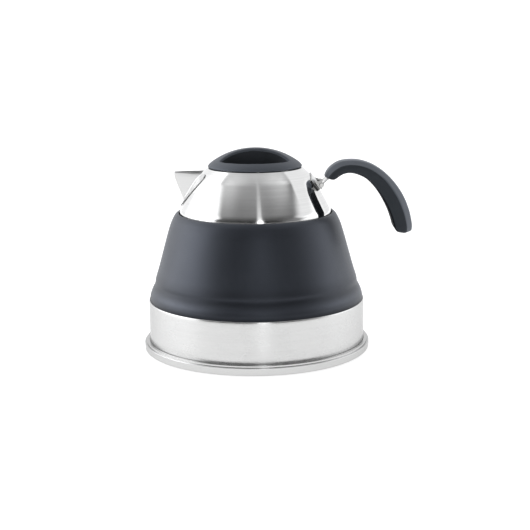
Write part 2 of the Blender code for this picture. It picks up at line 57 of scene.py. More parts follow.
# ================================================================ mesh helpers
def rounded(points, closed=True, step=10.0):
    """Polyline whose corners (x, y, radius) are rounded by arcs."""
    out, n = [], len(points)
    for i, p in enumerate(points):
        rad = p[2] if len(p) > 2 else 0.0
        if rad <= 0 or (not closed and i in (0, n - 1)):
            out.append((p[0], p[1]))
            continue
        a, b = Vector(points[i - 1][:2]), Vector(p[:2])
        c = Vector(points[(i + 1) % n][:2])
        u, v = (a - b), (c - b)
        reach = min(u.length, v.length) * 0.49
        u.normalize()
        v.normalize()
        ang = u.angle(v)
        if ang > math.radians(176):
            out.append((p[0], p[1]))
            continue
        d = min(rad / math.tan(ang / 2), reach)
        r = d * math.tan(ang / 2)
        centre = b + (u + v).normalized() * (r / math.sin(ang / 2))
        s, e = b + u * d - centre, b + v * d - centre
        a0, a1 = math.atan2(s.y, s.x), math.atan2(e.y, e.x)
        turn = (a1 - a0 + math.pi) % (2 * math.pi) - math.pi
        steps = max(2, round(abs(math.degrees(turn)) / step))
        for k in range(steps + 1):
            t = a0 + turn * k / steps
            out.append((centre.x + r * math.cos(t), centre.y + r * math.sin(t)))
    return out


def spline(points, count):
    """Catmull-Rom curve through points of any size, count samples."""
    n, out = len(points), []
    for k in range(count):
        u = k / (count - 1) * (n - 1)
        i = min(int(u), n - 2)
        t = u - i
        p0, p1 = points[max(i - 1, 0)], points[i]
        p2, p3 = points[i + 1], points[min(i + 2, n - 1)]
        out.append(tuple(
            0.5 * (2 * b + (c - a) * t + (2 * a - 5 * b + 4 * c - d) * t * t
                   + (3 * b - a - 3 * c + d) * t ** 3)
            for a, b, c, d in zip(p0, p1, p2, p3)))
    return out


def smoothstep(a, b, x):
    t = min(max((x - a) / (b - a), 0.0), 1.0)
    return t * t * (3 - 2 * t)


def to_object(bm, name, smooth=32.0, weld=0.0004):
    """Object in metres from a bmesh in millimetres."""
    bmesh.ops.remove_doubles(bm, verts=bm.verts, dist=weld)
    bmesh.ops.dissolve_degenerate(bm, dist=weld * 0.5, edges=bm.edges)
    bmesh.ops.recalc_face_normals(bm, faces=bm.faces)
    bm.transform(Matrix.Scale(MM, 4))
    mesh = bpy.data.meshes.new(name)
    bm.to_mesh(mesh)
    bm.free()
    mesh.shade_smooth()
    mesh.set_sharp_from_angle(angle=math.radians(smooth))
    item = bpy.data.objects.new(name, mesh)
    SCENE.collection.objects.link(item)
    return item


def turned_bmesh(section, seg=SEG, bm=None, place=None):
    """Section of (radius, height) spun about Z; poles where radius is 0."""
    bm = bm or bmesh.new()
    place = place or Matrix.Identity(4)
    loops = []
    for r, z in section:
        if r < 1e-5:
            loops.append([bm.verts.new(place @ Vector((0, 0, z)))])
        else:
            loops.append([bm.verts.new(place @ Vector((
                r * math.cos(2 * math.pi * k / seg),
                r * math.sin(2 * math.pi * k / seg), z)))
                for k in range(seg)])
    pairs = list(zip(loops, loops[1:]))
    if len(loops[0]) > 1 and len(loops[-1]) > 1:
        pairs.append((loops[-1], loops[0]))
    for a, b in pairs:
        for i in range(seg):
            j = (i + 1) % seg
            quad = [a[i % len(a)], a[j % len(a)], b[j % len(b)], b[i % len(b)]]
            face = list(dict.fromkeys(quad))
            if len(face) > 2:
                bm.faces.new(face)
    return bm


def turned(name, section, seg=SEG, smooth=32.0):
    return to_object(turned_bmesh(section, seg), name, smooth)


def skin(bm, loops, cap_start=True, cap_end=True, closed=False):
    """Quads between loops of equal count, with end caps."""
    pairs = list(zip(loops, loops[1:]))
    if closed:
        pairs.append((loops[-1], loops[0]))
    for a, b in pairs:
        for i in range(len(a)):
            j = (i + 1) % len(a)
            bm.faces.new((a[i], a[j], b[j], b[i]))
    if not closed and cap_start:
        bm.faces.new(list(reversed(loops[0])))
    if not closed and cap_end:
        bm.faces.new(loops[-1])


def offset_outline(points, d):
    """Closed 2-D outline moved inwards by d (points run anticlockwise)."""
    out, n = [], len(points)
    for i in range(n):
        a, b, c = (Vector(points[(i + k) % n]) for k in (-1, 0, 1))
        u, v = (b - a).normalized(), (c - b).normalized()
        nu, nv = Vector((-u.y, u.x)), Vector((-v.y, v.x))
        m = (nu + nv)
        if m.length < 1e-6:
            m = nu
        m.normalize()
        k = 1.0 / max(m.dot(nu), 0.5)
        p = b + m * (d * k)
        out.append((p.x, p.y))
    return out


def area(points):
    return 0.5 * sum(a[0] * b[1] - b[0] * a[1]
                     for a, b in zip(points, points[1:] + points[:1]))


def soft_plate(bm, outline, y0, y1, edge):
    """Plate drawn in X-Z between y0 and y1 with rounded rims."""
    if area(outline) < 0:
        outline = outline[::-1]
    loops = []
    steps = (0.0, 0.3, 0.7, 1.0)
    for s in steps:
        a = s * math.pi / 2
        inset = edge * (1 - math.sin(a))
        y = y0 + edge * (1 - math.cos(a))
        loops.append([bm.verts.new((x, y, z))
                      for x, z in offset_outline(outline, inset)])
    for s in reversed(steps):
        a = s * math.pi / 2
        inset = edge * (1 - math.sin(a))
        y = y1 - edge * (1 - math.cos(a))
        loops.append([bm.verts.new((x, y, z))
                      for x, z in offset_outline(outline, inset)])
    skin(bm, loops)


def rod_bmesh(bm, start, end, radius, seg=24, edge=0.0):
    """Round bar between two points, rims rounded by edge."""
    a, b = Vector(start), Vector(end)
    turn = Matrix.Translation(a) @ (b - a).to_track_quat("Z", "Y").to_matrix().to_4x4()
    length = (b - a).length
    section = [(0, 0), (radius, 0, edge), (radius, length, edge), (0, length)]
    return turned_bmesh(rounded(section, closed=False, step=22.5), seg, bm, turn)


def cutter(bm, name):
    item = to_object(bm, name)
    item.hide_render = True
    return item


def apply_boolean(target, tools, operation):
    """Boolean result written into the target's mesh, tools removed."""
    for tool in tools:
        mod = target.modifiers.new("cut", "BOOLEAN")
        mod.operation = operation
        mod.solver = "EXACT"
        mod.object = tool
    settle(target)
    for tool in tools:
        bpy.data.objects.remove(tool, do_unlink=True)


def settle(target):
    """Write the modifiers' result into the mesh."""
    bpy.context.view_layer.update()
    graph = bpy.context.evaluated_depsgraph_get()
    mesh = bpy.data.meshes.new_from_object(target.evaluated_get(graph))
    target.modifiers.clear()
    old = target.data
    target.data = mesh
    bpy.data.meshes.remove(old)


def sharpen(item, angle):
    item.data.shade_smooth()
    item.data.set_sharp_from_angle(angle=math.radians(angle))


def put(item, body, slot, mat, *nodes):
    """Give a finished piece its material and body and hide its CAD nodes; slot is not used."""
    item.data.materials.clear()
    for m in (mat if isinstance(mat, (list, tuple)) else [mat]):
        item.data.materials.append(m)
    if body:
        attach(item, body)
    if nodes:
        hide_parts(*nodes)
    return item


# ================================================================ node helpers
class Net:
    """Small helper for building a shader's node tree."""

    def __init__(self, name):
        self.mat = bpy.data.materials.new(name)
        self.mat.use_nodes = True
        self.tree = self.mat.node_tree
        self.shader = self.tree.nodes["Principled BSDF"]
        self.coord = self.node("ShaderNodeTexCoord").outputs["Object"]

    def node(self, kind, **values):
        n = self.tree.nodes.new(kind)
        for key, value in values.items():
            setattr(n, key, value)
        return n

    def link(self, a, b):
        self.tree.links.new(a, b)

    def set(self, name, value):
        self.shader.inputs[name].default_value = value

    def math(self, op, a, b=None, c=None, clamp=False):
        n = self.node("ShaderNodeMath", operation=op, use_clamp=clamp)
        for i, v in enumerate((a, b, c)):
            if v is None:
                continue
            if isinstance(v, (int, float)):
                n.inputs[i].default_value = v
            else:
                self.link(v, n.inputs[i])
        return n.outputs[0]

    def mapping(self, scale, source=None, location=(0, 0, 0), rotation=(0, 0, 0)):
        n = self.node("ShaderNodeMapping")
        n.inputs["Scale"].default_value = scale
        n.inputs["Location"].default_value = location
        n.inputs["Rotation"].default_value = rotation
        self.link(source or self.coord, n.inputs["Vector"])
        return n.outputs[0]

    def noise(self, scale, vector=None, detail=2.0, rough=0.5, distort=0.0):
        n = self.node("ShaderNodeTexNoise")
        n.inputs["Scale"].default_value = scale
        n.inputs["Detail"].default_value = detail
        n.inputs["Roughness"].default_value = rough
        n.inputs["Distortion"].default_value = distort
        self.link(vector or self.coord, n.inputs["Vector"])
        return n.outputs["Fac"]

    def remap(self, value, a, b, lo, hi, smooth=False):
        n = self.node("ShaderNodeMapRange")
        if smooth:
            n.interpolation_type = "SMOOTHSTEP"
        self.link(value, n.inputs["Value"])
        n.inputs["From Min"].default_value = a
        n.inputs["From Max"].default_value = b
        n.inputs["To Min"].default_value = lo
        n.inputs["To Max"].default_value = hi
        return n.outputs[0]

    def mix(self, fac, a, b, kind="MIX"):
        n = self.node("ShaderNodeMix", data_type="RGBA", blend_type=kind)
        if isinstance(fac, (int, float)):
            n.inputs["Factor"].default_value = fac
        else:
            self.link(fac, n.inputs["Factor"])
        for socket, v in ((n.inputs[6], a), (n.inputs[7], b)):
            if isinstance(v, (tuple, list)):
                socket.default_value = (*v, 1.0) if len(v) == 3 else v
            else:
                self.link(v, socket)
        return n.outputs[2]

    def bump(self, height, strength, distance, below=None):
        n = self.node("ShaderNodeBump")
        n.inputs["Strength"].default_value = strength
        n.inputs["Distance"].default_value = distance
        self.link(height, n.inputs["Height"])
        if below is not None:
            self.link(below, n.inputs["Normal"])
        return n.outputs[0]

    def split(self, vector=None):
        n = self.node("ShaderNodeSeparateXYZ")
        self.link(vector or self.coord, n.inputs[0])
        return n.outputs

    def colour(self, out):
        self.link(out, self.shader.inputs["Base Color"])

    def rough(self, out):
        self.link(out, self.shader.inputs["Roughness"])

    def normal(self, out):
        self.link(out, self.shader.inputs["Normal"])


# ================================================================ finishes
def steel(name, tone=(0.78, 0.78, 0.775), rough=0.13, spread=0.02, aniso=0.75,
          grain=0.45, streaks=0.8, scratches=0.4, limb=1.0, buffed=0.0):
    """Spun steel: fine grain round the axis, faint streaks and scuffs."""
    net = Net(name)
    fine = net.noise(1.0, net.mapping((60, 60, 5200)), detail=3, rough=0.6)
    streak = net.noise(1.0, net.mapping((14, 14, 900), location=(3.1, 0.7, 1.9)),
                       detail=2, rough=0.55)
    cloud = net.noise(38.0, detail=3, rough=0.55)
    # hairline scuffs in two crossing directions
    hair_a = net.noise(1.0, net.mapping((900, 90, 2600), rotation=(0.5, 0.2, 0.6)),
                       detail=1)
    hair_b = net.noise(1.0, net.mapping((300, 1100, 1700), rotation=(0.2, 0.9, -0.4)),
                       detail=1)
    hair = net.math("MAXIMUM", net.remap(hair_a, 0.70, 0.80, 0.0, 1.0),
                    net.remap(hair_b, 0.71, 0.81, 0.0, 1.0))
    dark = tuple(c * (1 - 0.05 * streaks) for c in tone)
    light = tuple(min(c * (1 + 0.04 * streaks), 1.0) for c in tone)
    base = net.mix(net.remap(streak, 0.32, 0.68, 0.0, 1.0), dark, light)
    base = net.mix(net.remap(cloud, 0.35, 0.75, 0.0, 0.35), base,
                   tuple(c * 0.96 for c in tone))
    net.colour(base)
    r = net.math("ADD", net.remap(fine, 0.3, 0.7, max(rough - spread, 0.0),
                                  rough + spread),
                 net.remap(cloud, 0.45, 0.75, 0.0, 0.05))
    r = net.math("ADD", r, net.math("MULTIPLY", hair, 0.08 * scratches), clamp=True)
    if buffed:
        # buffed smoother round the handle's bracket
        x, _, z = net.split()
        place = net.math("ADD", x, net.math("MULTIPLY", z, 0.6))
        place = net.remap(place, 0.1070, 0.1190, 0.0, buffed)
        r = net.math("MULTIPLY", r, net.math("SUBTRACT", 1.0, place))
    net.rough(r)
    low = net.bump(streak, 0.10 * grain, 0.00003)
    mid = net.bump(fine, 0.22 * grain, 0.00002, low)
    net.normal(net.bump(hair, 0.12 * scratches, 0.00001, mid))
    net.set("Metallic", 1.0)
    net.set("Specular Tint", (limb, limb, limb, 1.0))
    if aniso:
        net.set("Anisotropic", aniso)
        net.set("Anisotropic Rotation", 0.25)
        tangent = net.node("ShaderNodeTangent", direction_type="RADIAL", axis="Z")
        net.link(tangent.outputs[0], net.shader.inputs["Tangent"])
    return net.mat


def silicone(name, tone=(0.0165, 0.0185, 0.0210), rough=0.56, tint=(0.76, 0.83, 1.0),
             sheen=0.16, spec=0.75, painted_shade_heights=None):
    """Moulded silicone: dry matte skin, fine pebble, faint dust and rubs; painted shade and highlight
    by height where heights are given.
    """
    net = Net(name)
    pebble = net.noise(3800.0, detail=2, rough=0.6)
    skin_ = net.noise(900.0, detail=2, rough=0.5)
    cloud = net.noise(24.0, detail=3, rough=0.5)
    dust = net.noise(2100.0, net.mapping((1, 1, 1), location=(0.3, 0.9, 0.1)),
                     detail=1)
    flecks = net.remap(dust, 0.745, 0.80, 0.0, 1.0)
    base = net.mix(net.remap(cloud, 0.3, 0.7, 0.0, 1.0),
                   tuple(c * 0.92 for c in tone), tuple(c * 1.08 for c in tone))
    base = net.mix(net.math("MULTIPLY", flecks, 0.10), base, (0.30, 0.31, 0.33))
    # edges that hands rub are a little paler
    edge = net.node("ShaderNodeNewGeometry").outputs["Pointiness"]
    rub = net.remap(edge, 0.53, 0.60, 0.0, 0.22)
    base = net.mix(rub, base, tuple(min(c * 2.2, 1.0) for c in tone))
    if painted_shade_heights:
        # painted shade and highlight by height: darker in the folds and at the foot, lighter on the
        # bulges, in both colour and specular level
        z = net.math("MULTIPLY", net.split()[2], 5.0)
        ramp = net.node("ShaderNodeValToRGB")
        ramp.color_ramp.interpolation = "EASE"
        stops = ramp.color_ramp.elements
        while len(stops) < len(painted_shade_heights):
            stops.new(0.5)
        for stop, (h, v) in zip(stops, painted_shade_heights):
            stop.position, stop.color = h / 200.0, (v / 2, v / 2, v / 2, 1)
        net.link(z, ramp.inputs["Fac"])
        share = net.node("ShaderNodeSeparateColor")
        net.link(ramp.outputs["Color"], share.inputs[0])
        painted_shade_factor = net.math("MULTIPLY", share.outputs[0], 2.0)
        base = net.mix(1.0, base, painted_shade_factor, "MULTIPLY")
        net.link(net.math("MULTIPLY", painted_shade_factor, spec),
                 net.shader.inputs["Specular IOR Level"])
    net.colour(base)
    net.rough(net.math("ADD", net.remap(skin_, 0.3, 0.7, rough - 0.03, rough + 0.03),
                       net.remap(cloud, 0.35, 0.7, -0.02, 0.03)))
    coarse = net.bump(skin_, 0.06, 0.00004)
    net.normal(net.bump(pebble, 0.12, 0.00002, coarse))
    net.set("Specular IOR Level", spec)
    net.set("Specular Tint", (*tint, 1.0))
    net.set("Sheen Weight", sheen)
    net.set("Sheen Roughness", 0.45)
    net.set("Sheen Tint", (0.80, 0.88, 1.0, 1.0))
    return net.mat


def nylon(name, tone=(0.018, 0.018, 0.02)):
    """Moulded nylon with a spark-eroded grain."""
    net = Net(name)
    grain = net.noise(2600.0, detail=2, rough=0.6)
    cloud = net.noise(60.0, detail=2)
    net.colour(net.mix(cloud, tuple(c * 0.9 for c in tone),
                       tuple(c * 1.3 for c in tone)))
    net.rough(net.remap(grain, 0.3, 0.7, 0.44, 0.56))
    net.normal(net.bump(grain, 0.25, 0.00003))
    return net.mat


def seal(name):
    """Translucent-looking grey seal rubber."""
    net = Net(name)
    grain = net.noise(1500.0, detail=2)
    cloud = net.noise(90.0, detail=2)
    net.colour(net.mix(cloud, (0.36, 0.36, 0.35), (0.46, 0.46, 0.45)))
    net.rough(net.remap(grain, 0.3, 0.7, 0.42, 0.52))
    net.normal(net.bump(grain, 0.10, 0.00003))
    net.set("Subsurface Weight", 0.1)
    net.set("Subsurface Radius", (0.002, 0.002, 0.002))
    return net.mat


BRUSHED = steel("kettle_steel_brushed", buffed=0.75)
BAND = steel("kettle_steel_band", tone=(0.665, 0.665, 0.662), rough=0.26, aniso=0.6,
             spread=0.02, grain=0.3, streaks=0.4, limb=0.74)
POLISHED = steel("kettle_steel_polished", tone=(0.80, 0.80, 0.795), rough=0.14,
                 spread=0.02, aniso=0.0, grain=0.12, streaks=0.3, scratches=0.5)
SATIN = steel("kettle_steel_satin", tone=(0.67, 0.67, 0.667), rough=0.32,
              spread=0.02, aniso=0.0, grain=0.08, streaks=0.2, scratches=0.4)
# darker steel copy for the spout's inner faces: painted shade
SPOUT_INSIDE_SHADE = steel("kettle_steel_inside_painted_shade", tone=(0.42, 0.42, 0.415), rough=0.34,
               spread=0.03, aniso=0.0, grain=0.2, streaks=0.3, scratches=0.4)
RING = steel("kettle_steel_ring", tone=(0.62, 0.62, 0.617), rough=0.16,
             spread=0.02, aniso=0.0, grain=0.12, streaks=0.3, scratches=0.5, limb=0.72)
PLATE = steel("kettle_steel_plate", tone=(0.86, 0.86, 0.857), rough=0.30)
# dull stamped steel: the higher roughness is its finish, its dark tone is painted shade in place of
# the darker surroundings it would reflect
BRACKET_SHADE_DULL = steel("kettle_steel_bracket_dull_painted_shade", tone=(0.44, 0.44, 0.435), rough=0.34,
                spread=0.03, aniso=0.0, grain=0.2, streaks=0.3, scratches=0.5)
STRAP = steel("kettle_steel_strap", tone=(0.64, 0.64, 0.637), rough=0.22,
              spread=0.03, aniso=0.0, grain=0.15, streaks=0.3, scratches=0.5)
CUT_EDGE = steel("kettle_steel_cut_edge", tone=(0.56, 0.56, 0.555), rough=0.42,
                 spread=0.05, aniso=0.0, grain=0.6, scratches=0.4)
PLAIN = steel("kettle_steel_plain", tone=(0.62, 0.62, 0.61), rough=0.38,
              spread=0.06, aniso=0.3, grain=1.2, scratches=0.8)
CORE = steel("kettle_aluminium", tone=(0.80, 0.80, 0.81), rough=0.42,
             spread=0.06, aniso=0.0, grain=0.8, scratches=0.5)
# the wall gets painted shade in its folds and at its foot and painted highlight on its bulges, set by
# height
SLATE = silicone("kettle_silicone", tone=(0.0022, 0.0029, 0.0042), rough=0.46,
                 sheen=0.09, spec=0.93,
                 painted_shade_heights=((0, 0.42), (44.0, 0.42), (47.4, 0.86), (50.6, 1.20), (56.4, 0.67),
                          (61.0, 0.80), (70.0, 1.0), (110.0, 1.0)))
# lit and shaded copies of one silicone for the grip: the top copy's lighter tone is painted light,
# the side and underside copies' darker tones are painted shade
GRIP = silicone("kettle_silicone_grip", tone=(0.0420, 0.0480, 0.0550), rough=0.50,
                sheen=0.24)
GRIP_SIDE_SHADE = silicone("kettle_silicone_grip_side_painted_shade", tone=(0.0290, 0.0330, 0.0370),
                     rough=0.6, sheen=0.05, spec=0.24)
GRIP_UNDER_SHADE = silicone("kettle_silicone_grip_under_painted_shade", tone=(0.0095, 0.0110, 0.0135),
                      rough=0.7, sheen=0.0, spec=0.08)
# the lid skin's lighter tone is painted light from above; the darker scoop copy is painted shade
LIDSKIN = silicone("kettle_silicone_lid", tone=(0.0580, 0.0640, 0.0720), sheen=0.05,
                   spec=0.75)
LID_SCOOP_SHADE = silicone("kettle_silicone_lid_scoop_painted_shade", tone=(0.0180, 0.0196, 0.0205),
                      sheen=0.0, spec=0.40)
NYLON = nylon("kettle_nylon")
# near-black stand-in for the shadow gap under the bracket's rims: painted shadow
SHADOW_GAP_BLACK = nylon("kettle_painted_shadow_gap", tone=(0.006, 0.006, 0.007))
SEAL = seal("kettle_seal")


# ================================================================ base
cap = [(0, 0), (83.2, 0), (84.3, 0.9, 0.9), (84.3, 5.0), (83.5, 5.0),
       (83.5, 0.9), (0, 0.9)]
put(turned("stove_cap", rounded(cap, closed=False)), "base", "steel_plain",
    PLAIN, "base_cap")
put(turned("spreader_disc",
           rounded([(0, 1.2), (83.2, 1.2, 0.4), (83.2, 5.0, 0.4), (0, 5.0)],
                   closed=False)), "base", "aluminium_core", CORE, "base_core")

# pan: the rim rolls in a little to hold the silicone
pan = [(0, 5.3), (84, 5.3), (88.6, 5.4, 5), (91.4, 6.2, 1.3), (91.96, 7.3, 0.7)]
pan = rounded(pan, closed=False, step=4)
pan += [(91.96, z) for z in (16, 22, 28, 33, 37)]
pan += [(91.96, 40.2), (91.94, 41.0), (91.89, 41.8), (91.8, 42.5), (91.7, 42.9)]
pan += [(91.6, 43.12), (91.48, 43.23), (91.36, 43.26), (91.25, 43.2), (91.2, 43.0)]
pan += [(91.16, 41.5), (91.16, 38.5)]
pan += [(91.16, z) for z in (33, 27, 21, 15)]
pan += rounded([(91.16, 10.2), (90.6, 7.6, 3), (88.4, 6.2, 4), (85, 6.1), (0, 6.1)],
               closed=False, step=4)[1:]
put(turned("pan", pan), "base", "steel_brushed", BAND, "base_pan")

# foot ring: two plain steps out of the band
ring = rounded([(92.26, 8.6), (92.5, 8.68, 0.08), (94.4, 8.66, 0.12), (95.1, 8.45, 0.18),
                (95.1, 7.05, 0.06), (96.1, 7.0, 0.15), (96.5, 6.6, 0.3),
                (96.5, 1.4, 1.2), (95.2, 0.3, 0.6),
                (93.4, 0.3, 0.2), (93.4, 1.1, 0.3), (94.6, 1.3, 0.6),
                (95.5, 2.6, 1.0), (95.4, 6.0, 0.5), (94.3, 6.4, 0.4),
                (94.1, 7.5, 0.4), (92.26, 7.8, 0.3)], closed=True, step=6)
put(turned("foot_ring", ring, seg=320), "base", "steel_polished", RING,
    "heat_ring")

put(turned("wall_clamp", rounded(
    [(87.1, 43.0, 0.2), (87.9, 43.0, 0.2), (87.9, 32.0, 0.3), (90.8, 32.0, 0.2),
     (90.8, 31.2, 0.2), (87.1, 31.2, 0.6)])), "base", "steel_plain", PLAIN,
    "lower_clamp_ring")

# silicone wall
outer = [(91.04, 43.0), (90.98, 44.2), (90.8, 46.0), (90.42, 47.9), (89.8, 49.9),
         (88.95, 52.0), (87.85, 54.2), (86.9, 56.1), (86.4, 57.5), (86.17, 58.7),
         (86.0, 60.2), (85.55, 62.2), (84.25, 66.4),
         (82.2, 73.0), (80.2, 80.3), (78.2, 87.5), (76.15, 94.9), (74.05, 102.1),
         (72.2, 107.7), (69.9, 112.9), (68.9, 114.6)]
wall = [(90.6, 32.4), (90.6, 38.0), (90.9, 42.2)] + spline(outer, 100)
wall += [(68.25, 115.6), (67.5, 116.4), (66.7, 117.0), (65.9, 117.3), (65.4, 117.3),
         (65.1, 117.05), (65.05, 116.7), (65.3, 116.2)]
inner = [(66.1, 115.4), (67.1, 113.7), (67.75, 111.9), (67.75, 108.0)]
wall += spline(inner, 12)
wall += [(67.75, 103.95), (63.4, 103.95), (63.4, 101.7), (70.6, 101.7)]
wall += spline([(71.2, 101.0), (73.2, 94.2), (75.2, 86.8), (77.2, 79.4),
                (79.4, 72.1), (81.5, 64.8), (83.5, 57.8), (85.1, 53.4),
                (86.6, 49.0), (87.9, 45.2), (88.2, 43.2)], 40)
wall += [(88.2, 38.0), (88.2, 32.4)]
body = turned("silicone_wall", wall, smooth=45)
put(body, None, "silicone_slate", SLATE, "silicone_body")
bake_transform(body)

# ================================================================ dome
# flank: slope of the spun shell against height, eased out at its foot
FLANK_TOP, FLANK_FOOT = 147.0, 118.6


def flank_slope(z):
    """Radius lost per millimetre of height."""
    a = math.radians(27.6 + 4.6 * smoothstep(119, 150, z))
    return math.tan(a) * smoothstep(115.8, 122.4, z)


FLANK = [(56.73, 133.0)]
z, r = 133.0, 56.73
while z > 115.5:
    r += flank_slope(z - 0.125) * 0.25
    z -= 0.25
    FLANK.append((r, z))
z, r = 133.0, 56.73
up = []
while z < 146.0:
    r -= flank_slope(z + 0.125) * 0.25
    z += 0.25
    up.append((r, z))
FLANK = list(reversed(up)) + FLANK           # from the top down


def flank_r(z):
    if z >= FLANK[0][1]:
        return FLANK[0][0] - (z - FLANK[0][1]) * flank_slope(146)
    if z <= FLANK[-1][1]:
        return FLANK[-1][0]
    k = (FLANK[0][1] - z) / 0.25
    i = min(int(k), len(FLANK) - 2)
    t = k - i
    return FLANK[i][0] * (1 - t) + FLANK[i + 1][0] * t


DOME_TOP = 155.1


def dome_r(z):
    """Outside radius with the shoulder below the lid."""
    if z <= 145.0:
        return flank_r(z)
    t = (z - 145.0) / (DOME_TOP - 145.0)
    return flank_r(z) - 3.4 * t ** 2.2


shoulder = [(dome_r(145 + 9.6 * k / 16), 145 + 9.6 * k / 16) for k in range(17)]
dome = [(37.6, 155.1), (38.6, 155.1)]
dome += spline([(39.4, 155.06), (40.2, 154.9), shoulder[16]], 6)
dome += list(reversed(shoulder))[1:]
dome += [p for i, p in enumerate(FLANK) if i % 6 == 3 and 116.6 < p[1] < 144.9]
dome += spline([(flank_r(116.2), 116.2), (65.2, 114.9), (66.3, 113.6),
                (67.15, 112.2), (67.4, 110.8)], 9)
dome += [(67.4, 108), (67.4, 105.0), (66.8, 104.2), (63.0, 104.2), (63.0, 105.0),
         (66.0, 105.0), (66.6, 105.6), (66.6, 110.9)]
back = [(66.5, 111.9), (65.6, 113.1), (64.4, 114.4),
        (flank_r(116.2) - 0.75, 116.0)]
dome += spline(back, 8)
dome += [(flank_r(z + 0.35) - 0.75, z) for z in
         (118, 121, 123, 125, 128, 131, 134, 137, 140, 143)]
dome += [(dome_r(z + 0.45) - 0.66, z) for z in (145.4, 147.2, 149.0, 150.6, 151.8, 153.0)]
dome += [(41.0, 153.9), (40.2, 154.25), (39.4, 154.3), (37.6, 154.3)]
shell = turned("dome", dome)

POUR_HOLES = ((0.0, 136.6), (-3.0, 141.6), (3.0, 141.6),
              (-5.6, 146.6), (0.0, 146.6), (5.6, 146.6))
SLOPE_N = Vector((1.0, 0.0, 0.5547)).normalized()


def on_dome(y, z, off):
    """A point off millimetres outside the dome's flank, +X side."""
    r = dome_r(z) + off * SLOPE_N.x
    return Vector((math.sqrt(max(r * r - y * y, 0.0)), y, z + off * SLOPE_N.z))


holes = bmesh.new()
for y, z in POUR_HOLES:
    p = on_dome(y, z, 0.0)
    p.x = -p.x
    out = Vector((p.x, p.y, 0)).normalized() * SLOPE_N.x + Vector((0, 0, SLOPE_N.z))
    rod_bmesh(holes, p - out * 3, p + out * 3, 2.1, seg=32)
apply_boolean(shell, [cutter(holes, "pour_hole_cutter")], "DIFFERENCE")
sharpen(shell, 32)
put(shell, "upper", "steel_brushed", BRUSHED, "dome_shell")

put(turned("lid_neck", rounded(
    [(36.4, 154.0, 0.9), (39.0, 154.0, 0.2), (39.0, 153.2, 0.2), (37.2, 153.2, 0.6),
     (37.2, 144.5, 0.25), (36.4, 144.5, 0.25)])), "upper", "steel_polished",
    POLISHED, "neck_collar")
put(turned("dome_clamp", rounded(
    [(61.9, 106.1, 0.5), (64.6, 106.1, 0.3), (64.6, 105.3, 0.2), (62.7, 105.3, 0.5),
     (62.7, 101.4, 0.5), (68.5, 101.4, 0.3), (68.5, 100.4, 0.3),
     (61.9, 100.4, 0.6)])), "upper", "steel_plain", PLAIN, "upper_clamp_ring")


# ================================================================ spout
SPOUT_RIM_Z, SPOUT_KEEL_Z, SPOUT_TIP_X, SPOUT_HALF = 151.4, 127.6, -68.0, 9.6
EDGE_ROWS = [(122.9, 1.4), (125.0, 5.2), (127.2, 7.9), (131.0, 11.4),
             (136.0, 15.2), (141.0, 18.6), (145.4, 20.6), (147.6, 21.1),
             (149.4, 20.7), (150.6, 19.6), (SPOUT_RIM_Z, 17.9)]


def flange_half(z):
    for (z0, h0), (z1, h1) in zip(EDGE_ROWS, EDGE_ROWS[1:]):
        if z <= z1:
            t = (z - z0) / (z1 - z0)
            return h0 + (h1 - h0) * t
    return EDGE_ROWS[-1][1]


def spout_row(z, off, flange_n=9, bend_n=7, wall_n=12, keel_n=6):
    """Half a row at one height: flange edge, bend, wall, keel (y >= 0)."""
    half = flange_half(z)
    t = max(0.0, (z - SPOUT_KEEL_Z) / (SPOUT_RIM_Z - SPOUT_KEEL_Z))
    te = t ** 0.96
    foot_y = max(0.55 + (SPOUT_HALF - 0.55) * te, 0.55)
    if half <= foot_y:
        foot_y = half * 0.5
    base = 0.45
    keel_dome = -on_dome(0, z, base).x
    keel = keel_dome + (SPOUT_TIP_X + on_dome(0, SPOUT_RIM_Z, base).x) * t
    # middle line in plan, as (x, y): flange arc, straight wall, keel
    def on(y):
        p = on_dome(y, z, base)
        return Vector((-p.x, p.y))
    foot = on(foot_y)
    tip = Vector((keel, 0.0))
    wall = (tip - foot)
    d = wall.normalized() if wall.length > 1e-6 else Vector((-1, 0))
    bend = min(1.3, (half - foot_y) * 0.4, max(wall.length * 0.3, 0.02))
    round_k = min(0.9, wall.length * 0.25)
    pts = []
    for k in range(flange_n):
        y = half + (foot_y + bend - half) * k / (flange_n - 1)
        pts.append(on(y))
    a, b, c = on(foot_y + bend), foot, foot + d * bend
    for k in range(1, bend_n):
        s = k / bend_n
        pts.append(a * (1 - s) ** 2 + b * 2 * s * (1 - s) + c * s * s)
    e = tip - d * round_k
    for k in range(wall_n):
        s = k / (wall_n - 1)
        pts.append(c * (1 - s) + e * s)
    mirror = Vector((e.x, -e.y))
    nose = tip + Vector((-0.0, 0))
    for k in range(1, keel_n + 1):
        s = 0.5 * k / keel_n
        pts.append(e * (1 - s) ** 2 + nose * 2 * s * (1 - s) + mirror * s * s)
    # move outwards along the plan normal, and up the flank's lean
    out = []
    for i, p in enumerate(pts):
        q0, q1 = pts[max(i - 1, 0)], pts[min(i + 1, len(pts) - 1)]
        tan = (q1 - q0)
        if i == len(pts) - 1:
            tan = Vector((0, -1))
        tan = tan.normalized() if tan.length > 1e-9 else Vector((0, -1))
        n = Vector((tan.y, -tan.x))
        if n.x > 0 and n.y < 0 or n.dot(Vector((-1, 0.4))) < 0:
            n = -n
        lean = 1.0 if i < flange_n else max(0.0, 1 - (i - flange_n) / bend_n)
        out.append(Vector((p.x + n.x * off * (0.87 + 0.13 * (1 - lean)),
                           p.y + n.y * off * (0.87 + 0.13 * (1 - lean)),
                           z + off * 0.48 * lean)))
    return out


rows_z = [122.9, 123.4, 124.1, 125.0, 126.0, 127.2, 128.4]
rows_z += [129.6 + (SPOUT_RIM_Z - 129.6) * k / 26 for k in range(27)]
THICK = 0.72
bm = bmesh.new()


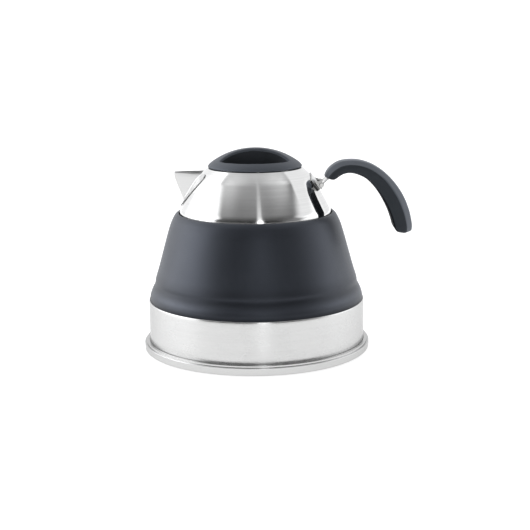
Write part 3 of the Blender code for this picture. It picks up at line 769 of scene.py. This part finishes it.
def full_row(z, off):
    half = spout_row(z, off)
    t = max(0.0, (z - SPOUT_KEEL_Z) / (SPOUT_RIM_Z - SPOUT_KEEL_Z)) ** 2
    half = [Vector((p.x, p.y, p.z + t * min(max((-57.0 - p.x) * 0.028, -0.3), 0.3)))
            for p in half]
    return half + [Vector((p.x, -p.y, p.z)) for p in reversed(half[:-1])]


under = [[bm.verts.new(p) for p in full_row(z, 0.0)] for z in rows_z]
over = [[bm.verts.new(p) for p in full_row(z, THICK)] for z in rows_z]
top_a = [bm.verts.new((p.x, p.y, p.z + 0.28)) for p in full_row(SPOUT_RIM_Z, 0.16)]
top_b = [bm.verts.new((p.x, p.y, p.z + 0.28)) for p in full_row(SPOUT_RIM_Z, THICK - 0.16)]
edge_a = [[], []]
rows, cols = len(rows_z), len(under[0])
for i in range(rows - 1):
    for j in range(cols - 1):
        face = bm.faces.new((under[i][j], under[i][j + 1], under[i + 1][j + 1],
                             under[i + 1][j]))
        face.material_index = 1
        bm.faces.new((over[i][j], over[i + 1][j], over[i + 1][j + 1], over[i][j + 1]))
    for j in (0, cols - 1):
        bm.faces.new((under[i][j], under[i + 1][j], over[i + 1][j], over[i][j]))
for j in range(cols - 1):
    bm.faces.new((under[0][j], under[0][j + 1], over[0][j + 1], over[0][j]))
    bm.faces.new((under[-1][j], under[-1][j + 1], top_a[j + 1], top_a[j]))
    bm.faces.new((top_a[j], top_a[j + 1], top_b[j + 1], top_b[j]))
    bm.faces.new((top_b[j], top_b[j + 1], over[-1][j + 1], over[-1][j]))
for j in (0, cols - 1):
    bm.faces.new((under[-1][j], top_a[j], top_b[j], over[-1][j]))
# a row of small weld dots along each edge of the flange
for side in (-1, 1):
    for k in range(19):
        z = 127.5 + 20.0 * k / 18
        y = flange_half(z) - 1.7
        p = on_dome(y, z, 0.45 + THICK)
        out = Vector((-p.x, y, 0)).normalized() * SLOPE_N.x + Vector((0, 0, SLOPE_N.z))
        turn = out.to_track_quat("Z", "Y").to_matrix().to_4x4()
        place = Matrix.Translation(Vector((-p.x, side * y, p.z))) @ turn
        if side < 0:
            place = (Matrix.Scale(-1, 4, (0, 1, 0))
                     @ Matrix.Translation(Vector((-p.x, y, p.z))) @ turn)
        turned_bmesh([(0, -0.2), (0.34, -0.2), (0.34, 0.01), (0.22, 0.08), (0, 0.11)],
                     10, bm, place)
# the inner faces (index 1) take the darker steel copy: painted shade
put(to_object(bm, "pouring_spout", 38), "upper", "steel_polished", [SATIN, SPOUT_INSIDE_SHADE],
    "spout")

# ================================================================ hinge
HX, HZ = 55.45, 140.9
P = Vector((HX, 0, HZ))
PIN_R, BORE_R = 0.9, 1.2
saddle = ((136.6, 15.4), (138.6, 16.4), (141.5, 17.5), (144.4, 18.0),
          (146.2, 15.0), (147.8, 10.2), (149.3, 4.0))
fine_saddle = spline(saddle, 26)
bm = bmesh.new()
loops_u, loops_o, loops_m = [], [], []
N = 40


def saddle_line(z, half, off):
    pts = []
    for k in range(N + 1):
        y = half * (2 * k / N - 1)
        r = dome_r(z) + off * SLOPE_N.x
        pts.append((math.sqrt(r * r - y * y), y, z + off * SLOPE_N.z))
    return pts


grids = []
for off, inset in ((0.12, 0.05), (0.20, 0.0), (1.05, 0.0), (1.15, 0.12)):
    grid = []
    for i, (z, half) in enumerate(fine_saddle):
        zz = z + (inset if i == 0 else -inset if i == len(fine_saddle) - 1 else 0)
        grid.append([bm.verts.new(p) for p in saddle_line(zz, half - inset, off)])
    grids.append(grid)
R_, C_ = len(fine_saddle), N + 1
for i in range(R_ - 1):
    for j in range(C_ - 1):
        a, b = grids[0], grids[3]
        bm.faces.new((a[i][j], a[i][j + 1], a[i + 1][j + 1], a[i + 1][j]))
        bm.faces.new((b[i][j], b[i + 1][j], b[i + 1][j + 1], b[i][j + 1]))
    for g, h in zip(grids, grids[1:]):
        for j in (0, C_ - 1):
            bm.faces.new((g[i][j], g[i + 1][j], h[i + 1][j], h[i][j]))
for g, h in zip(grids, grids[1:]):
    for j in range(C_ - 1):
        for i in (0, R_ - 1):
            bm.faces.new((g[i][j], g[i][j + 1], h[i][j + 1], h[i][j]))
bracket = to_object(bm, "hinge_saddle", 32)


def ear_outline():
    pts = []
    for z in (136.9, 139.4, 142.2, 144.6):
        q = on_dome(12.1, z, 0.78)
        pts.append((q.x, q.z))
    return pts + [(HX + 2.3 * math.cos(a), HZ + 2.3 * math.sin(a))
                  for a in (math.radians(d) for d in range(110, -71, -9))]


tools = []
for sign in (-1, 1):
    ys = sorted((sign * 11.5, sign * 12.7))
    bm = bmesh.new()
    soft_plate(bm, ear_outline(), ys[0], ys[1], 0.18)
    tools.append(cutter(bm, f"ear_{'front' if sign < 0 else 'rear'}"))
apply_boolean(bracket, tools, "UNION")
bm = bmesh.new()
rod_bmesh(bm, (HX, -18, HZ), (HX, 18, HZ), BORE_R, seg=36)
apply_boolean(bracket, [cutter(bm, "bore_cutter")], "DIFFERENCE")
sharpen(bracket, 32)
put(bracket, "upper", "steel_polished", [BRACKET_SHADE_DULL, SHADOW_GAP_BLACK, CUT_EDGE, PLATE],
    "handle_bracket")
# the plate's rims: a near-black painted shadow gap low on the side rims where they stand off the
# dome, the duller cut-edge finish on the rims higher up; the upper outward face takes the lighter
# plate steel
for face in bracket.data.polygons:
    c = face.center / MM
    radial = Vector((c.x, c.y, 0)).normalized() * SLOPE_N.x + Vector((0, 0, SLOPE_N.z))
    gap = math.hypot(c.x, c.y) - dome_r(c.z)
    if abs(face.normal.dot(radial)) < 0.6 and gap < 1.5 and abs(c.y) > 9.0:
        face.material_index = 1 if c.z < 145.4 else 2
    elif abs(face.normal.dot(radial)) < 0.6 and gap < 1.5 and c.z > 147:
        face.material_index = 2
    elif c.z > 143.4 and face.normal.dot(radial) > 0.6:
        face.material_index = 3

TURN_Y = Matrix.Translation(P) @ Matrix.Rotation(math.radians(-90), 4, "X")
pin = rounded([(0, -13.9), (1.8, -13.9, 0.5), (1.8, -13.0, 0.1), (PIN_R, -13.0, 0.1),
               (PIN_R, 13.6, 0.2), (0, 13.6)], closed=False, step=15)
put(to_object(turned_bmesh(pin, 40, None, TURN_Y), "pin"), "upper", "steel_plain",
    PLAIN, "hinge_pin")
nut = rounded([(BORE_R, 13.0), (1.9, 13.0, 0.1), (1.9, 14.1, 0.45), (BORE_R, 14.1, 0.15)],
              step=15)
put(to_object(turned_bmesh(nut, 40, None, TURN_Y), "pin_cap"), "upper", "steel_plain",
    PLAIN, "hinge_pin_cap")

# ================================================================ handle
GRIP_STATIONS = (
    (58.3, 147.2, 65.6, 145.0, 1.0), (60.6, 152.0, 67.6, 145.7, 1.0),
    (64.7, 156.3, 70.3, 147.7, 1.0), (71.2, 159.8, 74.3, 149.9, 1.0),
    (79.2, 161.0, 79.4, 150.7, 1.0), (88.2, 160.4, 85.4, 149.5, 1.0),
    (98.0, 157.3, 92.6, 146.0, 1.0), (108.2, 150.9, 99.0, 139.8, 1.0),
    (117.7, 141.4, 104.6, 132.0, 1.0), (125.2, 130.3, 109.0, 124.6, 1.0),
    (130.1, 118.7, 112.9, 116.6, 1.0), (132.5, 108.6, 115.8, 108.4, 1.0),
    (133.0, 103.1, 117.2, 103.4, 0.98), (132.1, 100.2, 119.4, 100.5, 0.90),
    (128.6, 98.7, 122.8, 99.1, 0.66))
GRIP_HALF, GRIP_CROWN, SLEEVE_T, STRAP_T, STRAP_HALF = 14.0, 4.3, 1.6, 1.2, 11.2
STRAP_ANGLE = math.radians(44.5)
COARSE = spline(GRIP_STATIONS, 29)
FINE = spline(GRIP_STATIONS, 99)


def frame_at(station):
    xo, zo, xi, zi, share = station
    o, i = Vector((xo, 0, zo)), Vector((xi, 0, zi))
    return (o + i) / 2, (o - i).normalized(), (o - i).length, share


def grip_section(station, inset):
    """Right half of the grip's section as (half width, height) points."""
    thick, share = frame_at(station)[2:]
    half = GRIP_HALF * share - inset
    top, bottom = thick / 2 - inset, -thick / 2 + inset
    # the crown is fullest at the front and grows again towards the tail
    front = min(max((80.0 - station[0]) / 14.0, 0.0), 1.0)
    tail = min(max((station[0] - 112.0) / 18.0, 0.0), 1.0)
    crown = GRIP_CROWN + 1.2 * front + 1.6 * tail
    crown = max(min(crown, (0.40 + 0.08 * front) * thick) - inset * 0.9, 0.3)
    side = max(top - crown, bottom + 0.6)
    k = min(2.1, half * 0.25, (side - bottom) * 0.55)
    raw = [(0.0, bottom), (half, bottom, k), (half, side, min(1.6, crown * 0.5)),
           (half * 0.46, side + (top - side) * 0.93, 5.0), (0.0, top)]
    return rounded(raw, closed=False, step=9)


def even(points, count):
    """The same line resampled to count evenly spaced points."""
    lengths = [0.0]
    for a, b in zip(points, points[1:]):
        lengths.append(lengths[-1] + math.dist(a, b))
    out, j = [], 0
    for k in range(count):
        s = lengths[-1] * k / (count - 1)
        while j < len(points) - 2 and lengths[j + 1] < s:
            j += 1
        t = (s - lengths[j]) / max(lengths[j + 1] - lengths[j], 1e-9)
        out.append(tuple(a + (b - a) * t for a, b in zip(points[j], points[j + 1])))
    return out


def grip_loop(station, inset, count=34):
    c, n, thick, share = frame_at(station)
    half = even(grip_section(station, inset), count)
    full = half + [(-y, h) for y, h in reversed(half[1:-1])]
    return [c + n * h + Vector((0, y, 0)) for y, h in full]


def shift(loop, d):
    return [p + d for p in loop]


# outer skin with softly rounded ends; the lining stops short of the tip
bm = bmesh.new()
first, last = FINE[0], FINE[-1]
tangent = (frame_at(FINE[1])[0] - frame_at(FINE[0])[0]).normalized()
loops = []
for s in (0.0, 0.35, 0.7):
    a = s * math.pi / 2
    ring_ = grip_loop(first, 0.9 * (1 - math.sin(a)))
    loops.append([bm.verts.new(p) for p in shift(ring_, tangent * (-0.15 + 0.9 * (1 - math.cos(a))))])
loops += [[bm.verts.new(p) for p in grip_loop(s, 0.0)] for s in FINE[2:]]
lining = [[bm.verts.new(p) for p in grip_loop(s, SLEEVE_T)] for s in FINE[:88]]
skin(bm, loops, cap_start=False, cap_end=True)
skin(bm, lining, cap_start=False, cap_end=True)
a, b = loops[0], lining[0]
for i in range(len(a)):
    j = (i + 1) % len(a)
    bm.faces.new((a[i], a[j], b[j], b[i]))
sleeve = to_object(bm, "grip", 50)
put(sleeve, "handle", "silicone_slate", [GRIP, GRIP_UNDER_SHADE, GRIP_SIDE_SHADE], "grip_sleeve")
inside = Vector((86.0, 0.0, 118.0))
around = len(loops[0])
outer = list(sleeve.data.polygons)[:(len(loops) - 1) * around]
for i in range(around):
    # painted shade: sideways strips take the darker side copy, strips facing in under the arch the
    # near-black underside copy, the rest the lighter top copy; one copy along each strip, so that its
    # edge runs true
    strip = outer[i::around]
    sideways = sum(abs(face.normal.y) for face in strip) / len(strip)
    inward = 0.0
    for face in strip:
        aim = inside - face.center / MM
        aim.y = 0.0
        inward += aim.normalized().dot(face.normal) / len(strip)
    index = 2 if sideways > 0.62 else 1 if inward > 0.6 else 0
    for face in strip:
        face.material_index = index


def strap_h(index):
    thick = frame_at(COARSE[index])[2]
    return -0.10 * thick * min(1.0, index / 5.0)


d = Vector((math.cos(STRAP_ANGLE), 0, math.sin(STRAP_ANGLE)))
h_axis = Vector((-d.z, 0, d.x))
OFFSET = -0.39
LAST = len(COARSE) - 1
path = [(P + d * 3.0 + h_axis * OFFSET, h_axis), (P + d * 5.2 + h_axis * OFFSET, h_axis)]
for k in range(1, LAST - 5):
    c, n, thick, share = frame_at(COARSE[k])
    path.append((c + n * strap_h(k), n))
centres = spline([tuple(c) for c, n in path], 4 * len(path))
normals = spline([tuple(n) for c, n in path], 4 * len(path))
section = rounded([(-STRAP_HALF, -STRAP_T / 2, 0.25), (STRAP_HALF, -STRAP_T / 2, 0.25),
                   (STRAP_HALF, STRAP_T / 2, 0.25), (-STRAP_HALF, STRAP_T / 2, 0.25)],
                  step=30)
bm = bmesh.new()
loops = []
for c, n in zip(centres, normals):
    c, n = Vector(c), Vector(n).normalized()
    loops.append([bm.verts.new(c + n * h + Vector((0, y, 0))) for y, h in section])
skin(bm, loops)
strap = to_object(bm, "strap", 32)

down = Vector((0.5547, 0, -1.0)).normalized()
away = Vector((SLOPE_N.x, 0, SLOPE_N.z))
BOSS_R = 1.85


def at_angle(deg):
    a = math.radians(deg)
    return P + Vector((math.cos(a), 0, math.sin(a))) * BOSS_R


outline = [P + d * 3.9 + h_axis * (OFFSET - STRAP_T / 2 + 0.02)]
outline += [at_angle(a) for a in range(12, -91, -8)]
outline += [P + down * 3.3 - away * 0.9, P + down * 3.3 - away * 1.98,
            P + down * 0.3 - away * 1.95]
outline += [at_angle(a) for a in range(195, 50, -8)]
outline.append(P + d * 3.9 + h_axis * (OFFSET + STRAP_T / 2 - 0.02))
tools = []
for sign in (-1, 1):
    ys = sorted((sign * 8.8, sign * 11.15))
    bm = bmesh.new()
    soft_plate(bm, [(p.x, p.z) for p in outline], ys[0], ys[1], 0.2)
    tools.append(cutter(bm, f"hook_{'front' if sign < 0 else 'rear'}"))
apply_boolean(strap, tools, "UNION")
bm = bmesh.new()
rod_bmesh(bm, (HX, -18, HZ), (HX, 18, HZ), BORE_R, seg=36)
apply_boolean(strap, [cutter(bm, "strap_bore")], "DIFFERENCE")
sharpen(strap, 32)
put(strap, "handle", "steel_polished", [STRAP, CUT_EDGE], "handle_strap")
for face in strap.data.polygons:
    if abs(face.normal.y) > 0.7:
        face.material_index = 1

# ================================================================ lid
LID_TOP, LID_SPHERE = 171.6, 62.5


def lid_z(r):
    return LID_TOP - LID_SPHERE + math.sqrt(LID_SPHERE ** 2 - r * r)


cover = [(0, LID_TOP)] + [(r, lid_z(r)) for r in (3, 6, 9, 12, 15, 18, 21, 24, 27, 30, 33, 36.2)]
cover += spline([(37.6, lid_z(37.6)), (38.7, 157.95), (39.4, 157.1), (39.75, 156.3),
                 (39.6, 155.8), (39.2, 155.55), (38.6, 155.5)], 14)
cover += [(36.5, 155.5), (32.9, 155.5), (32.9, 150.0), (0, 150.0)]
lid = to_object(turned_bmesh(cover, 160), "lid_skin")


def lens(r, y, sign, soften, n=220):
    """Plan of a finger scoop: an arc of radius r closed by the flared fin.

    y is the fin's half thickness at its middle; soften rounds the corners.
    """
    def fin(x):
        return y + 0.00036 * abs(x) ** 3
    lo, hi = 0.0, r
    for _ in range(40):
        x = (lo + hi) / 2
        if x * x + fin(x) ** 2 < r * r:
            lo = x
        else:
            hi = x
    a0 = math.atan2(fin(lo), lo)
    pts = [(r * math.cos(a0 + (math.pi - 2 * a0) * k / 90),
            r * math.sin(a0 + (math.pi - 2 * a0) * k / 90)) for k in range(91)]
    pts += [(-lo + 2 * lo * k / 60, fin(-lo + 2 * lo * k / 60)) for k in range(1, 61)]
    pts = even(pts, n + 1)[:-1]
    step = math.dist(pts[0], pts[1])
    for _ in range(round(2 * (soften / step) ** 2)):
        pts = [((a[0] + 2 * b[0] + c[0]) / 4, (a[1] + 2 * b[1] + c[1]) / 4)
               for a, b, c in zip(pts[-1:] + pts[:-1], pts, pts[1:] + pts[:1])]
    return [(x, sign * yy) for x, yy in pts]


def scoop(name, sign):
    levels = []
    bm = bmesh.new()
    for z, r, y in ((153.5, 19.5, 9.6), (153.75, 21.9, 8.8), (154.6, 24.9, 8.1),
                    (156.4, 28.2, 7.6), (159.0, 31.2, 7.1), (161.8, 33.7, 6.6),
                    (166.0, 36.9, 5.85), (176.0, 44.0, 4.1)):
        levels.append([bm.verts.new((x, yy, z)) for x, yy in lens(r, y, sign, 2.0)])
    skin(bm, levels)
    return cutter(bm, name)


apply_boolean(lid, [scoop("scoop_front", -1), scoop("scoop_rear", 1)], "DIFFERENCE")
mod = lid.modifiers.new("voxels", "REMESH")
mod.mode = "VOXEL"
mod.voxel_size = 0.00055
mod.use_smooth_shade = True
mod = lid.modifiers.new("soften", "SMOOTH")
mod.factor = 0.5
mod.iterations = 5
settle(lid)
# the fin's crest is rounded much more than the scoops' outer lip
bm = bmesh.new()
bm.from_mesh(lid.data)
bm.verts.ensure_lookup_table()
crest = []
for v in bm.verts:
    x, y, z = (c / MM for c in v.co)
    r = math.hypot(x, y)
    if r < 31.5 and abs(y) < 7.4 + 0.00036 * abs(x) ** 3 and z > lid_z(r) - 5.0:
        crest.append(v)
for _ in range(26):
    bmesh.ops.smooth_vert(bm, verts=crest, factor=0.5, use_axis_x=True,
                          use_axis_y=True, use_axis_z=True)
bm.to_mesh(lid.data)
bm.free()
lid.data.shade_smooth()
put(lid, "lid", "silicone_slate", [LIDSKIN, LID_SCOOP_SHADE], "lid_cover")
# painted shade: faces low inside the scoops take the darker copy
for face in lid.data.polygons:
    c = face.center / MM
    r = math.hypot(c.x, c.y)
    if r < 33.0 and 152.0 < c.z < lid_z(r) - 2.2:
        face.material_index = 1

plug = rounded([(1.9, 148.5, 0.1), (33.2, 148.5, 0.8), (34.0, 149.4, 0.7), (34.0, 154.4, 0.3),
                (36.0, 154.4, 0.25), (36.0, 155.2, 0.25), (33.2, 155.2, 0.4),
                (33.2, 149.3, 0.4), (1.9, 149.3, 0.1)])
put(turned("lid_cup", plug), "lid", "steel_polished", POLISHED, "lid_plug")
gasket = rounded([(34.3, 153.9, 0.2), (35.3, 153.9, 0.3), (36.1, 152.8, 0.35),
                  (35.5, 151.2, 0.4), (36.1, 150.1, 0.35), (35.3, 149.1, 0.3),
                  (34.3, 149.1, 0.2)])
put(turned("lid_seal", gasket), "lid", "silicone_seal", SEAL, "lid_gasket")
screw = rounded([(0, 162.0), (1.1, 162.0, 0.2), (1.6, 161.2, 0.3), (1.6, 148.2, 0.1),
                 (3.6, 148.2, 0.1), (3.6, 147.5, 0.4), (2.6, 146.9, 0.6), (0, 146.9)],
                closed=False, step=15)
put(turned("screw", screw, seg=40), "lid", "steel_plain", PLAIN, "lid_screw")

# hidden pieces keep their CAD shape and get their own finish
for name, mat in (("grip_core_outer", NYLON), ("grip_core_inner", NYLON),
                  ("grip_rivet_front", PLAIN), ("grip_rivet_rear", PLAIN),
                  ("lid_core", NYLON)):
    node = NODES[name]
    node.data.materials.clear()
    node.data.materials.append(mat)

# ================================================================ studio
floor_mat = bpy.data.materials.new("pale_floor")
floor_mat.use_nodes = True
net = floor_mat.node_tree
shader = net.nodes["Principled BSDF"]
shader.inputs["Base Color"].default_value = (0.60, 0.60, 0.60, 1)
shader.inputs["Roughness"].default_value = 0.9
shader.inputs["Specular IOR Level"].default_value = 0.1
shader.inputs["Emission Color"].default_value = (1, 1, 1, 1)
shader.inputs["Emission Strength"].default_value = 0.72
bm = bmesh.new()
bmesh.ops.create_grid(bm, x_segments=2, y_segments=2, size=30.0)
mesh = bpy.data.meshes.new("floor")
bm.to_mesh(mesh)
bm.free()
mesh.materials.append(floor_mat)
floor = bpy.data.objects.new("floor", mesh)
floor.location = (0, 0, -0.0002)
SCENE.collection.objects.link(floor)

# soft studio: white all round and above, a grey room in front of the kettle
world = bpy.data.worlds.new("studio")
SCENE.world = world
world.use_nodes = True
tree = world.node_tree
tree.nodes.clear()


def wn(kind, **values):
    n = tree.nodes.new(kind)
    for key, value in values.items():
        setattr(n, key, value)
    return n


def wmath(op, a, b=None, clamp=False):
    n = wn("ShaderNodeMath", operation=op, use_clamp=clamp)
    for i, v in enumerate((a, b)):
        if v is None:
            continue
        if isinstance(v, (int, float)):
            n.inputs[i].default_value = v
        else:
            tree.links.new(v, n.inputs[i])
    return n.outputs[0]


def wstep(value, a, b, lo=0.0, hi=1.0):
    n = wn("ShaderNodeMapRange", interpolation_type="SMOOTHSTEP")
    tree.links.new(value, n.inputs["Value"])
    for key, v in (("From Min", a), ("From Max", b), ("To Min", lo), ("To Max", hi)):
        n.inputs[key].default_value = v
    return n.outputs[0]


direction = wn("ShaderNodeTexCoord").outputs["Generated"]
xyz = wn("ShaderNodeSeparateXYZ")
tree.links.new(direction, xyz.inputs[0])
dx, dy, dz = xyz.outputs
azimuth = wmath("MULTIPLY", wmath("ARCTAN2", dx, wmath("MULTIPLY", dy, -1.0)),
                180 / math.pi)                 # 0 in front, + to the right
elevation = wmath("MULTIPLY", wmath("ARCSINE", dz), 180 / math.pi)



def wramp(value, stops):
    """Smooth curve through (position 0..1, level) stops."""
    node = wn("ShaderNodeValToRGB")
    ramp = node.color_ramp
    ramp.interpolation = "EASE"
    for e, (pos, v) in zip((ramp.elements[0], ramp.elements[1]), (stops[0], stops[-1])):
        e.position, e.color = pos, (v, v, v, 1)
    for pos, v in stops[1:-1]:
        e = ramp.elements.new(pos)
        e.color = (v, v, v, 1)
    tree.links.new(value, node.inputs["Fac"])
    out = wn("ShaderNodeSeparateColor")
    tree.links.new(node.outputs["Color"], out.inputs[0])
    return out.outputs[0]


# grey room in front and overhead, closed off by a white flat on either side
low = wstep(elevation, 14, 34, 1.0, 0.0)
wide = wmath("MULTIPLY", dx, wmath("SUBTRACT", 1.0, wmath("MULTIPLY", low, 0.18)))
# the room narrows behind the zenith
skew = wmath("MULTIPLY", wmath("MAXIMUM", dy, -0.02), 0.85)
left = wstep(wmath("SUBTRACT", wide, skew), -0.77, -0.67)
right = wstep(wmath("ADD", wide, skew), 0.735, 0.825, 1.0, 0.0)
front = wstep(dy, 0.30, 0.62, 1.0, 0.0)
room = wmath("MULTIPLY", wmath("MULTIPLY", left, right), front)
rise = wramp(wmath("DIVIDE", elevation, 90.0),
             ((0.0, 0.006), (0.12, 0.012), (0.22, 0.04), (0.33, 0.09), (0.44, 0.14), (0.51, 0.24),
              (0.58, 0.35), (0.68, 0.475), (0.80, 0.56), (1.0, 0.64)))
# the room's walls turn towards the light on both sides, more so higher up
turn_left = wmath("MULTIPLY", wstep(azimuth, -77, -26, 1.0, 0.0),
                  wmath("ADD", 0.7, wstep(elevation, 24, 47, 0.0, 1.4)))
turn_right = wmath("MULTIPLY", wstep(azimuth, 22, 96, 0.0, 1.0),
                   wmath("ADD", 0.50, wstep(elevation, 37, 48, 0.0, 2.0)))
# overhead and behind, the turn goes by the side instead
fade = wmath("MULTIPLY", wstep(elevation, 46, 64, 1.0, 0.0),
             wstep(dy, -0.15, 0.15, 1.0, 0.0))
turn = wmath("MULTIPLY", wmath("ADD", turn_left, turn_right), fade)
overhead = wmath("MULTIPLY", wstep(wmath("ABSOLUTE", dx), 0.04, 0.62, 0.0, 0.85),
                 wmath("SUBTRACT", 1.0, fade))
turn = wmath("ADD", 1.0, wmath("ADD", turn, overhead))
room_level = wmath("MULTIPLY", rise, turn)
# low down the room is lighter towards its sides
flank = wmath("ADD", wstep(azimuth, -86, -16, 0.10, 0.0), wstep(azimuth, 20, 90, 0.0, 0.33))
room_level = wmath("ADD", room_level,
                   wmath("MULTIPLY", flank, wstep(elevation, 14, 36, 1.0, 0.0)))

# white flats at the sides and behind, brightest low down
side = wstep(dx, -0.5, 0.5, 1.85, 1.03)
behind = wstep(dx, -0.4, 0.4, 1.10, 1.02)
glow = wmath("MULTIPLY", wstep(elevation, 0, 8), wstep(elevation, 16, 28, 1.1, 0.0))
glow = wmath("MULTIPLY", glow, wstep(dx, -0.9, -0.4, 1.5, 1.0))
aft = wstep(dy, 0.25, 0.80)
white = wmath("ADD", wmath("MULTIPLY", side, wmath("SUBTRACT", 1.0, aft)),
              wmath("ADD", wmath("MULTIPLY", behind, aft),
                    wmath("MULTIPLY", glow, wmath("SUBTRACT", 1.0, aft))))
# a slim window low in the room
off_axis = wmath("ABSOLUTE", wmath("SUBTRACT", azimuth, 7.6))
strip = wmath("MULTIPLY", wstep(off_axis, 1.8, 5.6, 1.0, 0.0),
              wramp(wmath("DIVIDE", elevation, 90.0),
                    ((0.0, 1.0), (0.14, 1.0), (0.30, 1.0), (0.42, 0.95), (0.48, 0.80),
                     (0.51, 0.55), (0.54, 0.36), (0.58, 0.20), (0.63, 0.11),
                     (0.80, 0.05))))
strip = wmath("MULTIPLY", strip, wstep(elevation, 8, 34, 3.9, 1.15))

inv = wmath("SUBTRACT", 1.0, room)
level = wmath("ADD", wmath("MULTIPLY", white, inv),
              wmath("MULTIPLY", wmath("ADD", room_level, strip), room))
bg = wn("ShaderNodeBackground")
bg.inputs["Color"].default_value = (0.985, 0.99, 1.0, 1)
tree.links.new(level, bg.inputs["Strength"])
seen = wn("ShaderNodeBackground")
seen.inputs["Color"].default_value = (1, 1, 1, 1)
seen.inputs["Strength"].default_value = 1.1
pick = wn("ShaderNodeMixShader")
tree.links.new(wn("ShaderNodeLightPath").outputs["Is Camera Ray"], pick.inputs[0])
tree.links.new(bg.outputs[0], pick.inputs[1])
tree.links.new(seen.outputs[0], pick.inputs[2])
tree.links.new(pick.outputs[0], wn("ShaderNodeOutputWorld").inputs["Surface"])

SCENE.view_settings.view_transform = "Standard"
SCENE.view_settings.look = "None"
SCENE.view_settings.exposure = 0.0
SCENE.view_settings.gamma = 1.0

camera = bpy.data.cameras.new("camera")
camera.sensor_width = 36.0
camera.lens = 82.24
camera.clip_start, camera.clip_end = 0.05, 60.0
eye = bpy.data.objects.new("camera", camera)
eye.location = (0.00769, -1.01681, 0.27974)
eye.rotation_euler = (Matrix.Rotation(math.radians(78.377), 4, "X")
                      @ Matrix.Rotation(math.radians(-0.556), 4, "Z")).to_euler()
SCENE.collection.objects.link(eye)
SCENE.camera = eye
